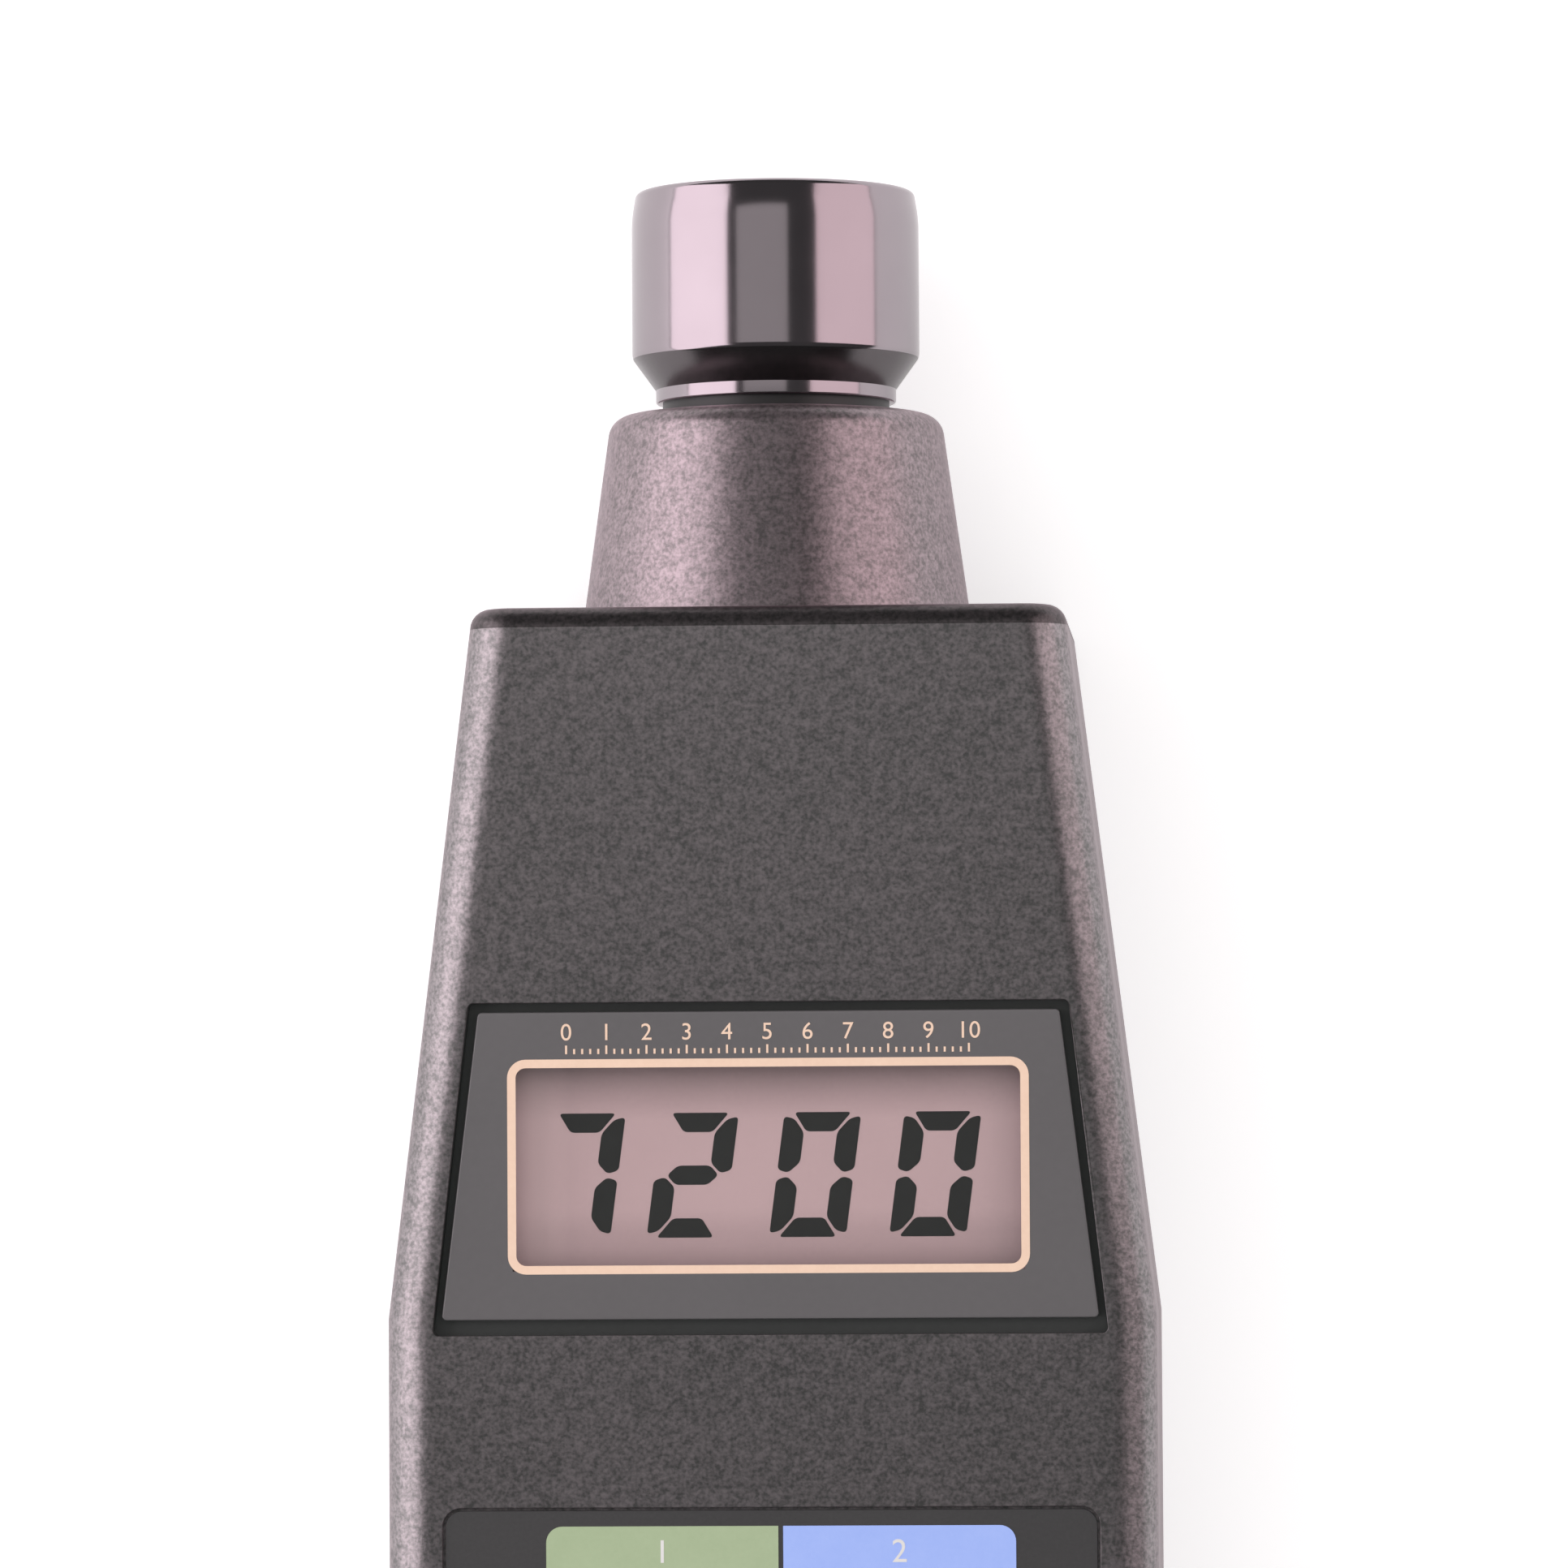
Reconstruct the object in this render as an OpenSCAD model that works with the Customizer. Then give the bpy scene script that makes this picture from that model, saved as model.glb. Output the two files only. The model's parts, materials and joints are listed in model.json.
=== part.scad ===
// Handheld laser tachometer: two moulded covers, a round nose with a chromed lens collar, a display
// window over a liquid crystal panel, a range switch, a side button and a battery behind a sliding door.
// The instrument lies on its back: X is its width, +Y points at the nose and +Z out of the display.

/* [Housing] */
// Length of the housing from tail to shoulder
body_len = 177; // [165:1:200]
// Width of the housing over the grip
body_w = 67; // [63:0.5:80]
// Width of the housing at the shoulder
shoulder_w = 51.8; // [49:0.1:60]
// Length of the tapered part below the shoulder
taper_len = 62; // [56:1:74]
// Depth of the housing, front face to back
body_d = 38; // [36:0.5:48]
// Wall of the sides and ends
wall = 2.2; // [1.8:0.1:2.6]
// Wall of the front face
face_wall = 3; // [2.8:0.1:3.6]
// Wall of the back
back_wall = 3.2; // [3:0.1:4]
// Rounding of the long front edges
front_edge_r = 4; // [3.5:0.25:5]
// Rounding of the long rear edges
rear_edge_r = 3; // [2.5:0.25:4]
// Rounding of the shoulder edge
shoulder_edge_r = 1.8; // [1:0.1:2.4]
// Rounding of the tail edge
tail_edge_r = 2.8; // [1.5:0.1:3]
// Height of the locating lip where the covers meet
lip_h = 1.5; // [1:0.1:2]
// Width and depth of the groove along the parting line
seam = 0.5; // [0.3:0.1:0.8]
// Play around pieces that slip together
slip = 0.1; // [0.05:0.01:0.2]

/* [Nose] */
// Diameter of the nose cone at the shoulder
cone_base_d = 34.4; // [32:0.1:34.5]
// Diameter that the cone's flank would have at its top
cone_top_d = 29.4; // [27:0.1:30]
// Length of the nose cone
cone_len = 18; // [15:0.5:24]
// Rounding of the cone's top edge
cone_edge_r = 3; // [1.5:0.1:3.5]
// Diameter of the neck that the two covers close around
neck_d = 26; // [25:0.5:27]
// Diameter of the flange behind the shoulder
flange_d = 30; // [29:0.5:30.5]
// Thickness of that flange
flange_t = 1.5; // [1:0.1:2.5]
// Diameter of the lock ring under the collar
ring_d = 21.4; // [21:0.1:22]
// Height of the lock ring and of the gap under it
ring_h = 2.3; // [1.6:0.1:3]
// Height of the gap between the nose cone and the lock ring
ring_groove_h = 1.1; // [0.4:0.1:1.3]
// How far the cone's stub in that gap is set in from the ring
ring_groove = 0.6; // [0.3:0.1:0.8]
// Diameter of the lens collar
collar_d = 25.6; // [24:0.1:27]
// Length of the lens collar above the lock ring
collar_len = 17.7; // [14:0.1:24]
// Height of the chamfer at the collar's foot
collar_chamfer_h = 2.9; // [1.5:0.1:3.5]
// Rounding of the collar's front edge
collar_edge_r = 1.4; // [1:0.1:2.6]
// Diameter of the collar's spigot inside the cone
spigot_d = 18; // [17.6:0.1:18.4]
// Length of that spigot
spigot_len = 12; // [8:0.5:16]
// Bore through the collar and its spigot
collar_bore_d = 16; // [15:0.1:16.2]
// Diameter of the front lens
lens_d = 19; // [18:0.1:19.4]
// Thickness of the lens at its edge
lens_edge_t = 2.2; // [1.5:0.1:3]
// Radius of the lens's curved front
lens_r = 24; // [20:0.5:40]
// Width of the retaining ring in front of the lens
retainer_w = 1; // [0.8:0.1:1.5]
// Height of that ring
retainer_h = 1.5; // [1:0.1:2]
// How far the retaining ring sits below the collar's rim
retainer_sink = 0.8; // [0.4:0.1:1.5]

/* [Optics] */
// Diameter of the optics holder's flange and of the sensor board
holder_flange_d = 26; // [24.5:0.5:28]
// Thickness of that flange
holder_flange_t = 2.5; // [2:0.1:4]
// Length of the optics holder in front of its flange
holder_len = 20; // [16:0.5:24]
// Diameter of the laser module
laser_d = 6; // [5:0.1:6.4]
// Length of the laser module
laser_len = 16; // [12:0.5:18]
// Diameter of the photodiode's dome
diode_d = 5; // [4:0.1:5.4]
// Height of the photodiode
diode_h = 8.6; // [7:0.1:10]
// Distance between the laser and the photodiode
optics_pitch = 7.4; // [7:0.1:7.8]
// Thickness of the sensor board
sensor_board_t = 1.2; // [0.8:0.1:1.6]
// Distance of the sensor screws from the nose axis
sensor_screw_r = 11; // [10.9:0.1:11.2]

/* [Display] */
// Distance from the shoulder to the top of the window plate
window_top = 35.3; // [33:0.1:40]
// Height of the window plate
window_h = 26.7; // [26:0.1:30]
// Distance from the sides of the housing to the window plate
window_margin = 4.95; // [4.4:0.05:5.4]
// Thickness of the window plate
window_t = 1.6; // [1:0.1:1.8]
// How far the window plate sits below the front face
window_sink = 0.3; // [0.1:0.05:0.4]
// Gap around the top and sides of the window plate
window_gap = 0.8; // [0.3:0.05:1]
// Gap under the window plate
window_low_gap = 1.35; // [0.5:0.05:1.5]
// Corner rounding of the window plate
window_corner_r = 0.4; // [0.4:0.1:2]
// Width of the display that shows
view_w = 44; // [40:0.5:45]
// Height of the display that shows
view_h = 17.6; // [14:0.1:19]
// Width of the display glass
lcd_w = 48; // [47:0.5:49]
// Height of the display glass
lcd_h = 26; // [25:0.5:27]
// Thickness of each of the two glass plates
glass_t = 1.4; // [1:0.1:1.6]
// Width of the contact ledge on the display glass
lcd_ledge = 2.8; // [2.4:0.1:3.4]
// Width of the rubber contact strips
strip_w = 1.8; // [1.2:0.1:2.2]
// Height of the rubber contact strips
strip_h = 5.9; // [5.4:0.1:6.2]
// Wall of the frame that holds the display glass
lcd_frame_wall = 1.3; // [1:0.1:1.6]

/* [Controls] */
// Distance from the shoulder to the top of the control panel
panel_top = 78.5; // [76:0.1:84]
// Width of the control panel
panel_w = 56.5; // [54:0.1:58]
// Height of the control panel
panel_h = 41; // [36:0.5:48]
// Thickness of the control panel
panel_t = 0.5; // [0.3:0.05:0.7]
// How far the control panel sits below the front face
panel_sink = 0.25; // [0.1:0.05:0.4]
// Gap around the control panel
panel_gap = 0.25; // [0.15:0.05:0.4]
// Corner rounding of the control panel
panel_corner_r = 1.4; // [1:0.1:4]
// Distance from the top of the control panel to the range switch
switch_drop = 24; // [21:0.5:27]
// Width of the range switch knob
knob_w = 9; // [7:0.5:11]
// Height of the range switch knob
knob_h = 8; // [7:0.5:9]
// How far the knob stands out of the front face
knob_proud = 1; // [0.5:0.1:2]
// Travel of the range switch
switch_travel = 5; // [3:0.5:6]
// Depth of the well that the knob slides in
well_depth = 1.7; // [1.4:0.1:2]
// Play around the knob in its well
knob_clear = 0.4; // [0.3:0.05:0.6]
// Width of the slider that carries the knob
slider_w = 4; // [3:0.1:4.5]
// Thickness of that slider
slider_t = 3; // [2:0.1:3.4]
// Height of the slide switch on the main board
switch_h = 5; // [4.4:0.1:5.6]
// Distance from the shoulder to the middle of the side button
button_at = 104; // [102:0.5:106]
// Length of the side button
button_len = 16; // [12:0.5:18]
// Height of the side button
button_h = 8; // [7:0.1:8.4]
// How far the side button stands out
button_proud = 1.3; // [1.2:0.1:2]
// Travel of the side button
button_travel = 1; // [0.5:0.1:1.1]
// Play around the side button in its opening
button_clear = 0.3; // [0.2:0.05:0.4]
// Thickness of the flange that keeps the button in
button_flange_t = 1.2; // [1:0.1:1.4]
// Diameter of the plunger in the button's switch
plunger_d = 3.2; // [2.4:0.1:3.6]
// Depth of the button's switch behind its plunger
tact_len = 6.5; // [6:0.1:8]

/* [Boards] */
// Thickness of the main board
board_t = 1.6; // [1:0.1:2]
// Distance from the shoulder to the top of the main board
board_top = 20; // [19:0.5:21]
// Distance from the shoulder to the bottom of the main board
board_low = 118; // [117:0.5:120]
// Distance from the sides of the housing to the main board
board_margin = 5; // [4.8:0.1:5.6]
// Side of the processor
chip_w = 14; // [10:0.5:20]
// Height of the processor
chip_h = 2.4; // [1.6:0.1:3.2]
// Diameter of the two capacitors
cap_d = 6.3; // [5:0.1:8]
// Length of the two capacitors
cap_len = 8; // [6:0.5:12]

/* [Battery] */
// Width of the battery
battery_w = 26.5; // [26:0.1:27]
// Length of the battery without its terminals
battery_len = 46.4; // [45:0.1:48]
// Thickness of the battery
battery_t = 17.5; // [15:0.1:17.8]
// Height of the battery's terminals
terminal_h = 2.2; // [1.8:0.1:2.6]
// Thickness of the snap connector on the terminals
snap_t = 3.4; // [3:0.1:4]
// Play on each side of the battery
bay_clear = 0.95; // [0.5:0.05:1.2]
// Free length of the bay past the battery and its connector
bay_spare = 1.5; // [1:0.1:3]
// Wall of the battery bay
bay_wall = 1.6; // [1.2:0.1:2]
// Thickness of the battery door
door_t = 2.2; // [2:0.1:2.4]
// Width of the tongues that hold the door
tongue_w = 1.4; // [1:0.1:1.6]
// Thickness of those tongues
tongue_t = 1; // [0.8:0.05:1.1]
// Play around the door
door_clear = 0.25; // [0.15:0.05:0.4]

/* [Fasteners] */
// Distance from the shoulder to the upper case screws
upper_screw_at = 10; // [9.8:0.1:11]
// Distance of the upper case screws from the middle
upper_screw_x = 19; // [18.8:0.1:19.2]
// Distance from the tail to the lower case screws
lower_screw_at = 9; // [8:0.1:14]
// Distance of the lower case screws from the side
lower_screw_margin = 7.5; // [7.2:0.1:8.5]
// Shank diameter of the case screws
case_screw_d = 2.9; // [2.5:0.1:3.1]
// Length of the case screws under their heads
case_screw_len = 14; // [10:0.5:15]
// Depth from the parting line to the seat of the screw heads
screw_seat = 4; // [3:0.5:6]
// Shank diameter of the board screws
board_screw_d = 2; // [1.8:0.1:2.4]
// Length of the board screws under their heads
board_screw_len = 7; // [5:0.5:8]

/* [Hidden] */

$fn = 64;
hull_fn = 36;
arc_steps = 6;
cut = 1;
join = 0.4;
least_r = 0.5;
kink_w = 0.2;
end_flat = 0.05;
rest_gap = 0.3;

// Stations along the length, with the origin half way along the whole instrument
total_len = body_len + cone_len + ring_h + collar_len;
y_tail = -total_len / 2;
y_shoulder = y_tail + body_len;
y_cone = y_shoulder + cone_len;
y_ring = y_cone + ring_h;
y_rim = y_ring + collar_len;
y_kink = y_shoulder - taper_len;

// Levels from back to front
part_z = body_d / 2;
nose_z = part_z;
face_in = body_d - face_wall;
lcd_top = face_in - rest_gap;
ledge_z = lcd_top - glass_t;
board_front = ledge_z - strip_h;
board_back = board_front - board_t;

// Nose
cone_bore_d = spigot_d + 2 * slip;
y_flange = y_shoulder - wall - slip - flange_t;
y_holder = y_flange - holder_flange_t;
y_sensor = y_holder - sensor_board_t;
sensor_screw_d = 1.8;
sensor_head_t = 1.2;
sensor_screw_len = 6;
optics_shift = 0.2;
laser_x = optics_shift - optics_pitch / 2;
diode_x = optics_shift + optics_pitch / 2;
laser_mouth = 1.5;
lens_seat = y_rim - retainer_sink - retainer_h - lens_edge_t;
rim_flat = 0.2;

// Display
y_window = y_shoulder - window_top;
view_drop = 0.2;
y_view = y_window - window_h / 2 - view_drop;
window_z = body_d - window_sink - window_t;
aperture_edge = 0.5;
strip_inset = 2;

// Controls
y_panel = y_shoulder - panel_top - panel_h / 2;
y_switch = y_shoulder - panel_top - switch_drop;
well_z = body_d - well_depth;
well_w = knob_w + switch_travel + 2 * knob_clear;
well_h = knob_h + 2 * knob_clear;
well_corner_r = 1.2;
knob_base = well_z + rest_gap;
socket_roof = 1;
slider_foot_t = 1.2;
foot_rim = 1;
foot_play = 0.4;
slider_foot_w = slider_w + 2 * foot_rim;
slider_foot_d = slider_t + foot_rim;
switch_floor = 1.2;
switch_wall = 1.2;
slider_z = board_front + switch_floor;
switch_in_w = slider_foot_w + switch_travel + 2 * foot_play;
switch_in_d = slider_foot_d + 2 * foot_play;
switch_w = switch_in_w + 2 * switch_wall;
switch_d = switch_in_d + 2 * switch_wall;
slot_w = slider_w + switch_travel + 2 * knob_clear;
slot_d = slider_t + 2 * knob_clear;
y_button = y_shoulder - button_at;
button_z = board_back - rest_gap;
button_rim = 2;
wall_in = body_w / 2 - wall;
flange_x = wall_in - slip - button_flange_t;
plunger_drop = 3.2;
plunger_z = board_back - plunger_drop;
stem_len = 1.6;
stem_rim = 0.3;
press_spare = 0.4;
plunger_tip = flange_x - stem_len;
tact_front = plunger_tip - button_travel - press_spare;
tact_w = 7;
tact_h = 6.2;
plunger_in = 2.2;

// Battery bay
bay_gap = 0.4;
battery_z = door_t + rest_gap;
bay_in_w = battery_w + 2 * bay_clear;
bay_top = battery_z + battery_t + bay_gap;
bay_y0 = y_tail + wall + bay_wall;
battery_y = bay_y0 + bay_gap;
bay_y1 = battery_y + battery_len + snap_t + bay_gap + bay_spare;
bay_wall_z = door_t + rest_gap;
door_w = bay_in_w;
door_lap = 0.6;
door_end = bay_y1 - door_lap;
tongue_z = 1.1;
terminal_pitch = 12.7;
small_terminal_d = 5.7;
large_terminal_d = 7.6;
terminals = [[-terminal_pitch / 2, small_terminal_d], [terminal_pitch / 2, large_terminal_d]];
snap_rim = 1.5;
wire_slot_w = 6;
wire_slot_h = 4;

// Screws
sleeve_d = 9.2;
boss_d = 6.8;
head_d = 5.6;
head_t = 2.2;
head_play = 0.4;
head_well_d = head_d + 2 * head_play;
seat_z = part_z - screw_seat;
post_d = 5.6;
board_head_d = 4.2;
board_head_t = 1.6;
board_hole_end = 6;
board_hole_edge = 4.7;
upper_hole_x = half_w(board_top + board_hole_end) - board_margin - board_hole_edge;
lower_hole_x = half_w(board_low) - board_margin - board_hole_edge;
case_screw_at = [
    [-upper_screw_x, y_shoulder - upper_screw_at],
    [upper_screw_x, y_shoulder - upper_screw_at],
    [-body_w / 2 + lower_screw_margin, y_tail + lower_screw_at],
    [body_w / 2 - lower_screw_margin, y_tail + lower_screw_at]
];
board_screw_at = [
    [-upper_hole_x, y_shoulder - board_top - board_hole_end],
    [upper_hole_x, y_shoulder - board_top - board_hole_end],
    [-lower_hole_x, y_shoulder - board_low + board_hole_end],
    [lower_hole_x, y_shoulder - board_low + board_hole_end]
];

black_abs = "#2f2e30";
smooth_black = "#232325";
chrome = "#cbc4c7";
dark_steel = "#8e9094";
board_green = "#2f6b3f";

// Half the housing's width at a distance below the shoulder
function half_w(below) =
    below < taper_len ? (shoulder_w + (body_w - shoulder_w) * below / taper_len) / 2 : body_w / 2;

function unit(v) = v / norm(v);

// Points of one rounded corner of a convex outline
function corner_arc(before, at, after, r) =
    let (u = unit(before - at), v = unit(after - at))
    let (half = acos(u * v) / 2)
    let (mid = at + unit(u + v) * r / sin(half))
    let (from = at + u * r / tan(half) - mid, to = at + v * r / tan(half) - mid)
    [for (i = [0 : arc_steps]) mid + r * unit(from + (to - from) * i / arc_steps)];

// A convex outline with rounded corners: one radius for all, or a list where 0 leaves a corner as it is
function rounded(points, r) =
    let (n = len(points))
    [for (i = [0 : n - 1])
        let (ri = is_list(r) ? r[i] : r, before = points[(i + n - 1) % n], after = points[(i + 1) % n])
        each ri > 0 ? corner_arc(before, points[i], after, ri) : [points[i]]];

function box_points(w, h) = [[-w / 2, -h / 2], [w / 2, -h / 2], [w / 2, h / 2], [-w / 2, h / 2]];

// Quarter arc of a turned profile, about a centre, between two angles
function turned_arc(r, h, radius, a0, a1) =
    [for (i = [0 : arc_steps])
        let (a = a0 + (a1 - a0) * i / arc_steps)
        [r + radius * cos(a), h + radius * sin(a)]];

// Outline of the window plate, grown by a gap at its top and sides and another below
function window_points(gap, low_gap) =
    let (high = half_w(window_top) - window_margin + gap)
    let (low = half_w(window_top + window_h) - window_margin + gap)
    let (y0 = y_window - window_h - low_gap, y1 = y_window + gap)
    [[-low, y0], [low, y0], [high, y1], [-high, y1]];

// Outline of the housing, drawn in from its sides and ends
function plan_points(inset) =
    let (low = body_w / 2 - inset, high = half_w(inset) - inset)
    [[-low, y_tail + inset], [low, y_tail + inset], [low, y_kink], [high, y_shoulder - inset],
        [-high, y_shoulder - inset], [-low, y_kink]];

// A plate with rounded corners, from a level upwards
module plate(w, h, r, z, t) {
    translate([0, 0, z]) linear_extrude(height = t) polygon(rounded(box_points(w, h), r));
}

// Places a turned piece on the nose axis, with its own Z along +Y
module on_nose(y) {
    translate([0, y, nose_z]) rotate([-90, 0, 0]) children();
}

module tube(outer_d, inner_d, h) {
    difference() {
        cylinder(d = outer_d, h = h);
        translate([0, 0, -cut]) cylinder(d = inner_d, h = h + 2 * cut);
    }
}

// Rod with one rounded end, its axis along Y and its end at the origin
module edge_rod(r, end_r, towards) {
    body = end_r + least_r;
    rotate([-90 * towards, 0, 0])
        rotate_extrude($fn = hull_fn)
            polygon(concat(
                [[0, -body], [r, -body]],
                turned_arc(r - end_r, -end_r, end_r, 0, 90),
                [[0, 0]]));
}

// The housing's closed outer form: tapered in plan, with rounded long edges and ends
module housing_form() {
    hull()
        for (sx = [-1, 1], edge = [[front_edge_r, body_d - front_edge_r], [rear_edge_r, rear_edge_r]]) {
            r = edge[0];
            translate([sx * (half_w(shoulder_edge_r) - r), y_shoulder, edge[1]])
                edge_rod(r, shoulder_edge_r, 1);
            translate([sx * (body_w / 2 - r), y_kink, edge[1]])
                rotate([90, 0, 0]) cylinder(r = r, h = kink_w, center = true, $fn = hull_fn);
            translate([sx * (body_w / 2 - r), y_tail, edge[1]]) edge_rod(r, min(tail_edge_r, r), -1);
        }
}

// A prism inside the housing's outline, between two levels
module housing_core(inset, z0, z1) {
    tail_r = max(tail_edge_r - inset, least_r);
    shoulder_r = max(shoulder_edge_r - inset, least_r);
    translate([0, 0, z0]) linear_extrude(height = z1 - z0)
        polygon(rounded(plan_points(inset), [tail_r, tail_r, 0, shoulder_r, shoulder_r, 0]));
}

// A slab across the whole instrument between two levels
module slab(z0, z1) {
    translate([-body_w, y_tail - body_w, z0]) cube([2 * body_w, total_len + 2 * body_w, z1 - z0]);
}

module at_points(points) {
    for (p = points) translate([p[0], p[1], 0]) children();
}

// Opening for the nose cone's neck through the shoulder
module neck_hole() {
    on_nose(y_shoulder - wall - cut) cylinder(d = neck_d + 2 * slip, h = wall + 2 * cut);
}

// Outline of the side button, as a bar along X between two stations
module button_bar(grow, x0, x1) {
    w = button_len + 2 * grow;
    h = button_h + 2 * grow;
    translate([x0, y_button, button_z]) rotate([90, 0, 90]) plate(w, h, h / 2 - end_flat, 0, x1 - x0);
}

module front_cover() {
    color(black_abs) difference() {
        union() {
            difference() {
                intersection() {
                    housing_form();
                    slab(part_z, body_d + cut);
                }
                housing_core(wall, part_z - cut, face_in);
                housing_core(wall / 2, part_z - cut, part_z + lip_h + slip);
            }
            at_points(case_screw_at)
                translate([0, 0, part_z]) cylinder(d = boss_d, h = face_in + join - part_z);
            at_points(board_screw_at)
                translate([0, 0, board_front]) cylinder(d = post_d, h = face_in + join - board_front);
        }
        neck_hole();
        translate([0, 0, window_z]) linear_extrude(height = body_d)
            polygon(rounded(window_points(window_gap, window_low_gap), window_corner_r + slip));
        translate([0, y_view, 0])
            plate(view_w + 2 * aperture_edge, view_h + 2 * aperture_edge, aperture_edge,
                face_in - cut, body_d);
        translate([0, y_panel, 0]) plate(panel_w + 2 * panel_gap, panel_h + 2 * panel_gap,
            panel_corner_r + panel_gap, body_d - panel_sink - panel_t, body_d);
        translate([0, y_switch, 0]) plate(well_w, well_h, well_corner_r, well_z, body_d);
        translate([0, y_switch, 0]) plate(slot_w, slot_d, aperture_edge, face_in - cut, body_d);
        button_bar(button_clear, wall_in - cut, body_w);
        at_points(case_screw_at) translate([0, 0, part_z - cut])
            cylinder(d = case_screw_d + slip, h = case_screw_len - screw_seat + 2 * cut);
        at_points(board_screw_at) translate([0, 0, board_front - cut])
            cylinder(d = board_screw_d + slip, h = board_screw_len - board_t + 2 * cut);
    }
}

// Opening in the back for the battery door, with the grooves for its tongues
module door_opening() {
    open_w = door_w + 2 * door_clear;
    open_len = door_end + door_clear - y_tail + cut;
    groove_w = open_w + 2 * tongue_w;
    translate([-open_w / 2, y_tail - cut, -cut]) cube([open_w, open_len, bay_wall_z + cut]);
    translate([-groove_w / 2, y_tail - cut, tongue_z - door_clear / 2])
        cube([groove_w, open_len, tongue_t + door_clear]);
}

// Walls and roof of the battery bay, joined to the tail wall up to the top of the lip and clear of it above
module bay_block() {
    block_w = bay_in_w + 2 * bay_wall;
    roof = bay_top + bay_wall;
    y0 = y_tail + wall;
    y1 = bay_y1 + bay_wall;
    translate([-block_w / 2, y0 - join, back_wall - join])
        cube([block_w, y1 - y0 + join, min(roof, part_z + lip_h) - back_wall + join]);
    translate([-block_w / 2, y0 + slip, back_wall]) cube([block_w, y1 - y0 - slip, roof - back_wall]);
}

module rear_cover() {
    color(black_abs) difference() {
        union() {
            difference() {
                union() {
                    intersection() {
                        housing_form();
                        slab(-cut, part_z - seam);
                    }
                    housing_core(seam, part_z - seam - join, part_z);
                    housing_core(wall / 2 + slip, part_z - join, part_z + lip_h);
                }
                housing_core(wall, back_wall, body_d);
            }
            at_points(case_screw_at) translate([0, 0, back_wall - join])
                cylinder(d = sleeve_d, h = part_z - back_wall + join);
            difference() {
                bay_block();
                translate([-bay_in_w / 2, bay_y0, -cut]) cube([bay_in_w, bay_y1 - bay_y0, bay_top + cut]);
            }
        }
        translate([-bay_in_w / 2, bay_y0, -cut]) cube([bay_in_w, door_end - bay_y0, bay_top]);
        neck_hole();
        door_opening();
        at_points(case_screw_at) translate([0, 0, -cut]) cylinder(d = head_well_d, h = seat_z + cut);
        at_points(case_screw_at) cylinder(d = case_screw_d + 4 * slip, h = part_z + cut);
        translate([-wire_slot_w / 2, bay_y1 - cut, bay_top - wire_slot_h])
            cube([wire_slot_w, bay_wall + 2 * cut, wire_slot_h]);
    }
}

module nose_cone() {
    stub_r = ring_d / 2 - ring_groove;
    stub_top = y_cone + ring_groove_h;
    lean = atan((cone_base_d - cone_top_d) / 2 / cone_len);
    edge_at = cone_top_d / 2 + cone_edge_r * (tan(lean) - 1 / cos(lean));
    color(black_abs) on_nose(0) difference() {
        rotate_extrude() polygon(concat(
            [[cone_bore_d / 2, y_flange], [flange_d / 2, y_flange], [flange_d / 2, y_flange + flange_t],
                [neck_d / 2, y_flange + flange_t], [neck_d / 2, y_shoulder], [cone_base_d / 2, y_shoulder]],
            turned_arc(edge_at, y_cone - cone_edge_r, cone_edge_r, lean, 90),
            [[stub_r, y_cone], [stub_r, stub_top], [cone_bore_d / 2, stub_top]]));
        for (side = [-1, 1]) translate([0, side * sensor_screw_r, y_flange - cut])
            cylinder(d = sensor_screw_d + slip, h = sensor_screw_len + cut);
    }
}

module lock_ring() {
    color(chrome) on_nose(y_cone + ring_groove_h) tube(ring_d, cone_bore_d, ring_h - ring_groove_h);
}

module lens_collar() {
    lens_bore_r = lens_d / 2 + 2 * slip;
    edge_r = min(collar_edge_r, collar_d / 2 - lens_bore_r - rim_flat);
    color(chrome) on_nose(0) rotate_extrude() polygon(concat(
        [[collar_bore_d / 2, y_cone - spigot_len], [spigot_d / 2, y_cone - spigot_len],
            [spigot_d / 2, y_ring], [ring_d / 2, y_ring], [collar_d / 2, y_ring + collar_chamfer_h]],
        turned_arc(collar_d / 2 - edge_r, y_rim - edge_r, edge_r, 0, 90),
        [[lens_bore_r, y_rim], [lens_bore_r, lens_seat], [collar_bore_d / 2, lens_seat]]));
}

module front_lens() {
    flat_r = lens_d / 2 - retainer_w;
    apex = lens_seat + lens_edge_t + lens_r - sqrt(lens_r * lens_r - flat_r * flat_r);
    half = asin(flat_r / lens_r);
    color("#9fb4c8") on_nose(0) rotate_extrude() polygon(concat(
        [[0, lens_seat], [lens_d / 2, lens_seat], [lens_d / 2, lens_seat + lens_edge_t]],
        turned_arc(0, apex - lens_r, lens_r, 90 - half, 90)));
}

module lens_retainer() {
    color(smooth_black) on_nose(lens_seat + lens_edge_t)
        tube(lens_d + 2 * slip, lens_d - 2 * retainer_w + slip, retainer_h);
}

module optics_holder() {
    bore_len = holder_len + holder_flange_t;
    color(smooth_black) on_nose(0) difference() {
        union() {
            translate([0, 0, y_holder]) cylinder(d = holder_flange_d, h = holder_flange_t);
            translate([0, 0, y_holder]) cylinder(d = collar_bore_d - 2 * slip, h = bore_len);
        }
        translate([laser_x, 0, y_holder - cut]) cylinder(d = laser_d + 2 * slip, h = bore_len + 2 * cut);
        translate([diode_x, 0, y_holder - cut]) cylinder(d = diode_d + 2 * slip, h = bore_len + 2 * cut);
        for (side = [-1, 1]) translate([0, side * sensor_screw_r, y_holder - cut])
            cylinder(d = sensor_screw_d + 2 * slip, h = holder_flange_t + 2 * cut);
    }
}

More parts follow.
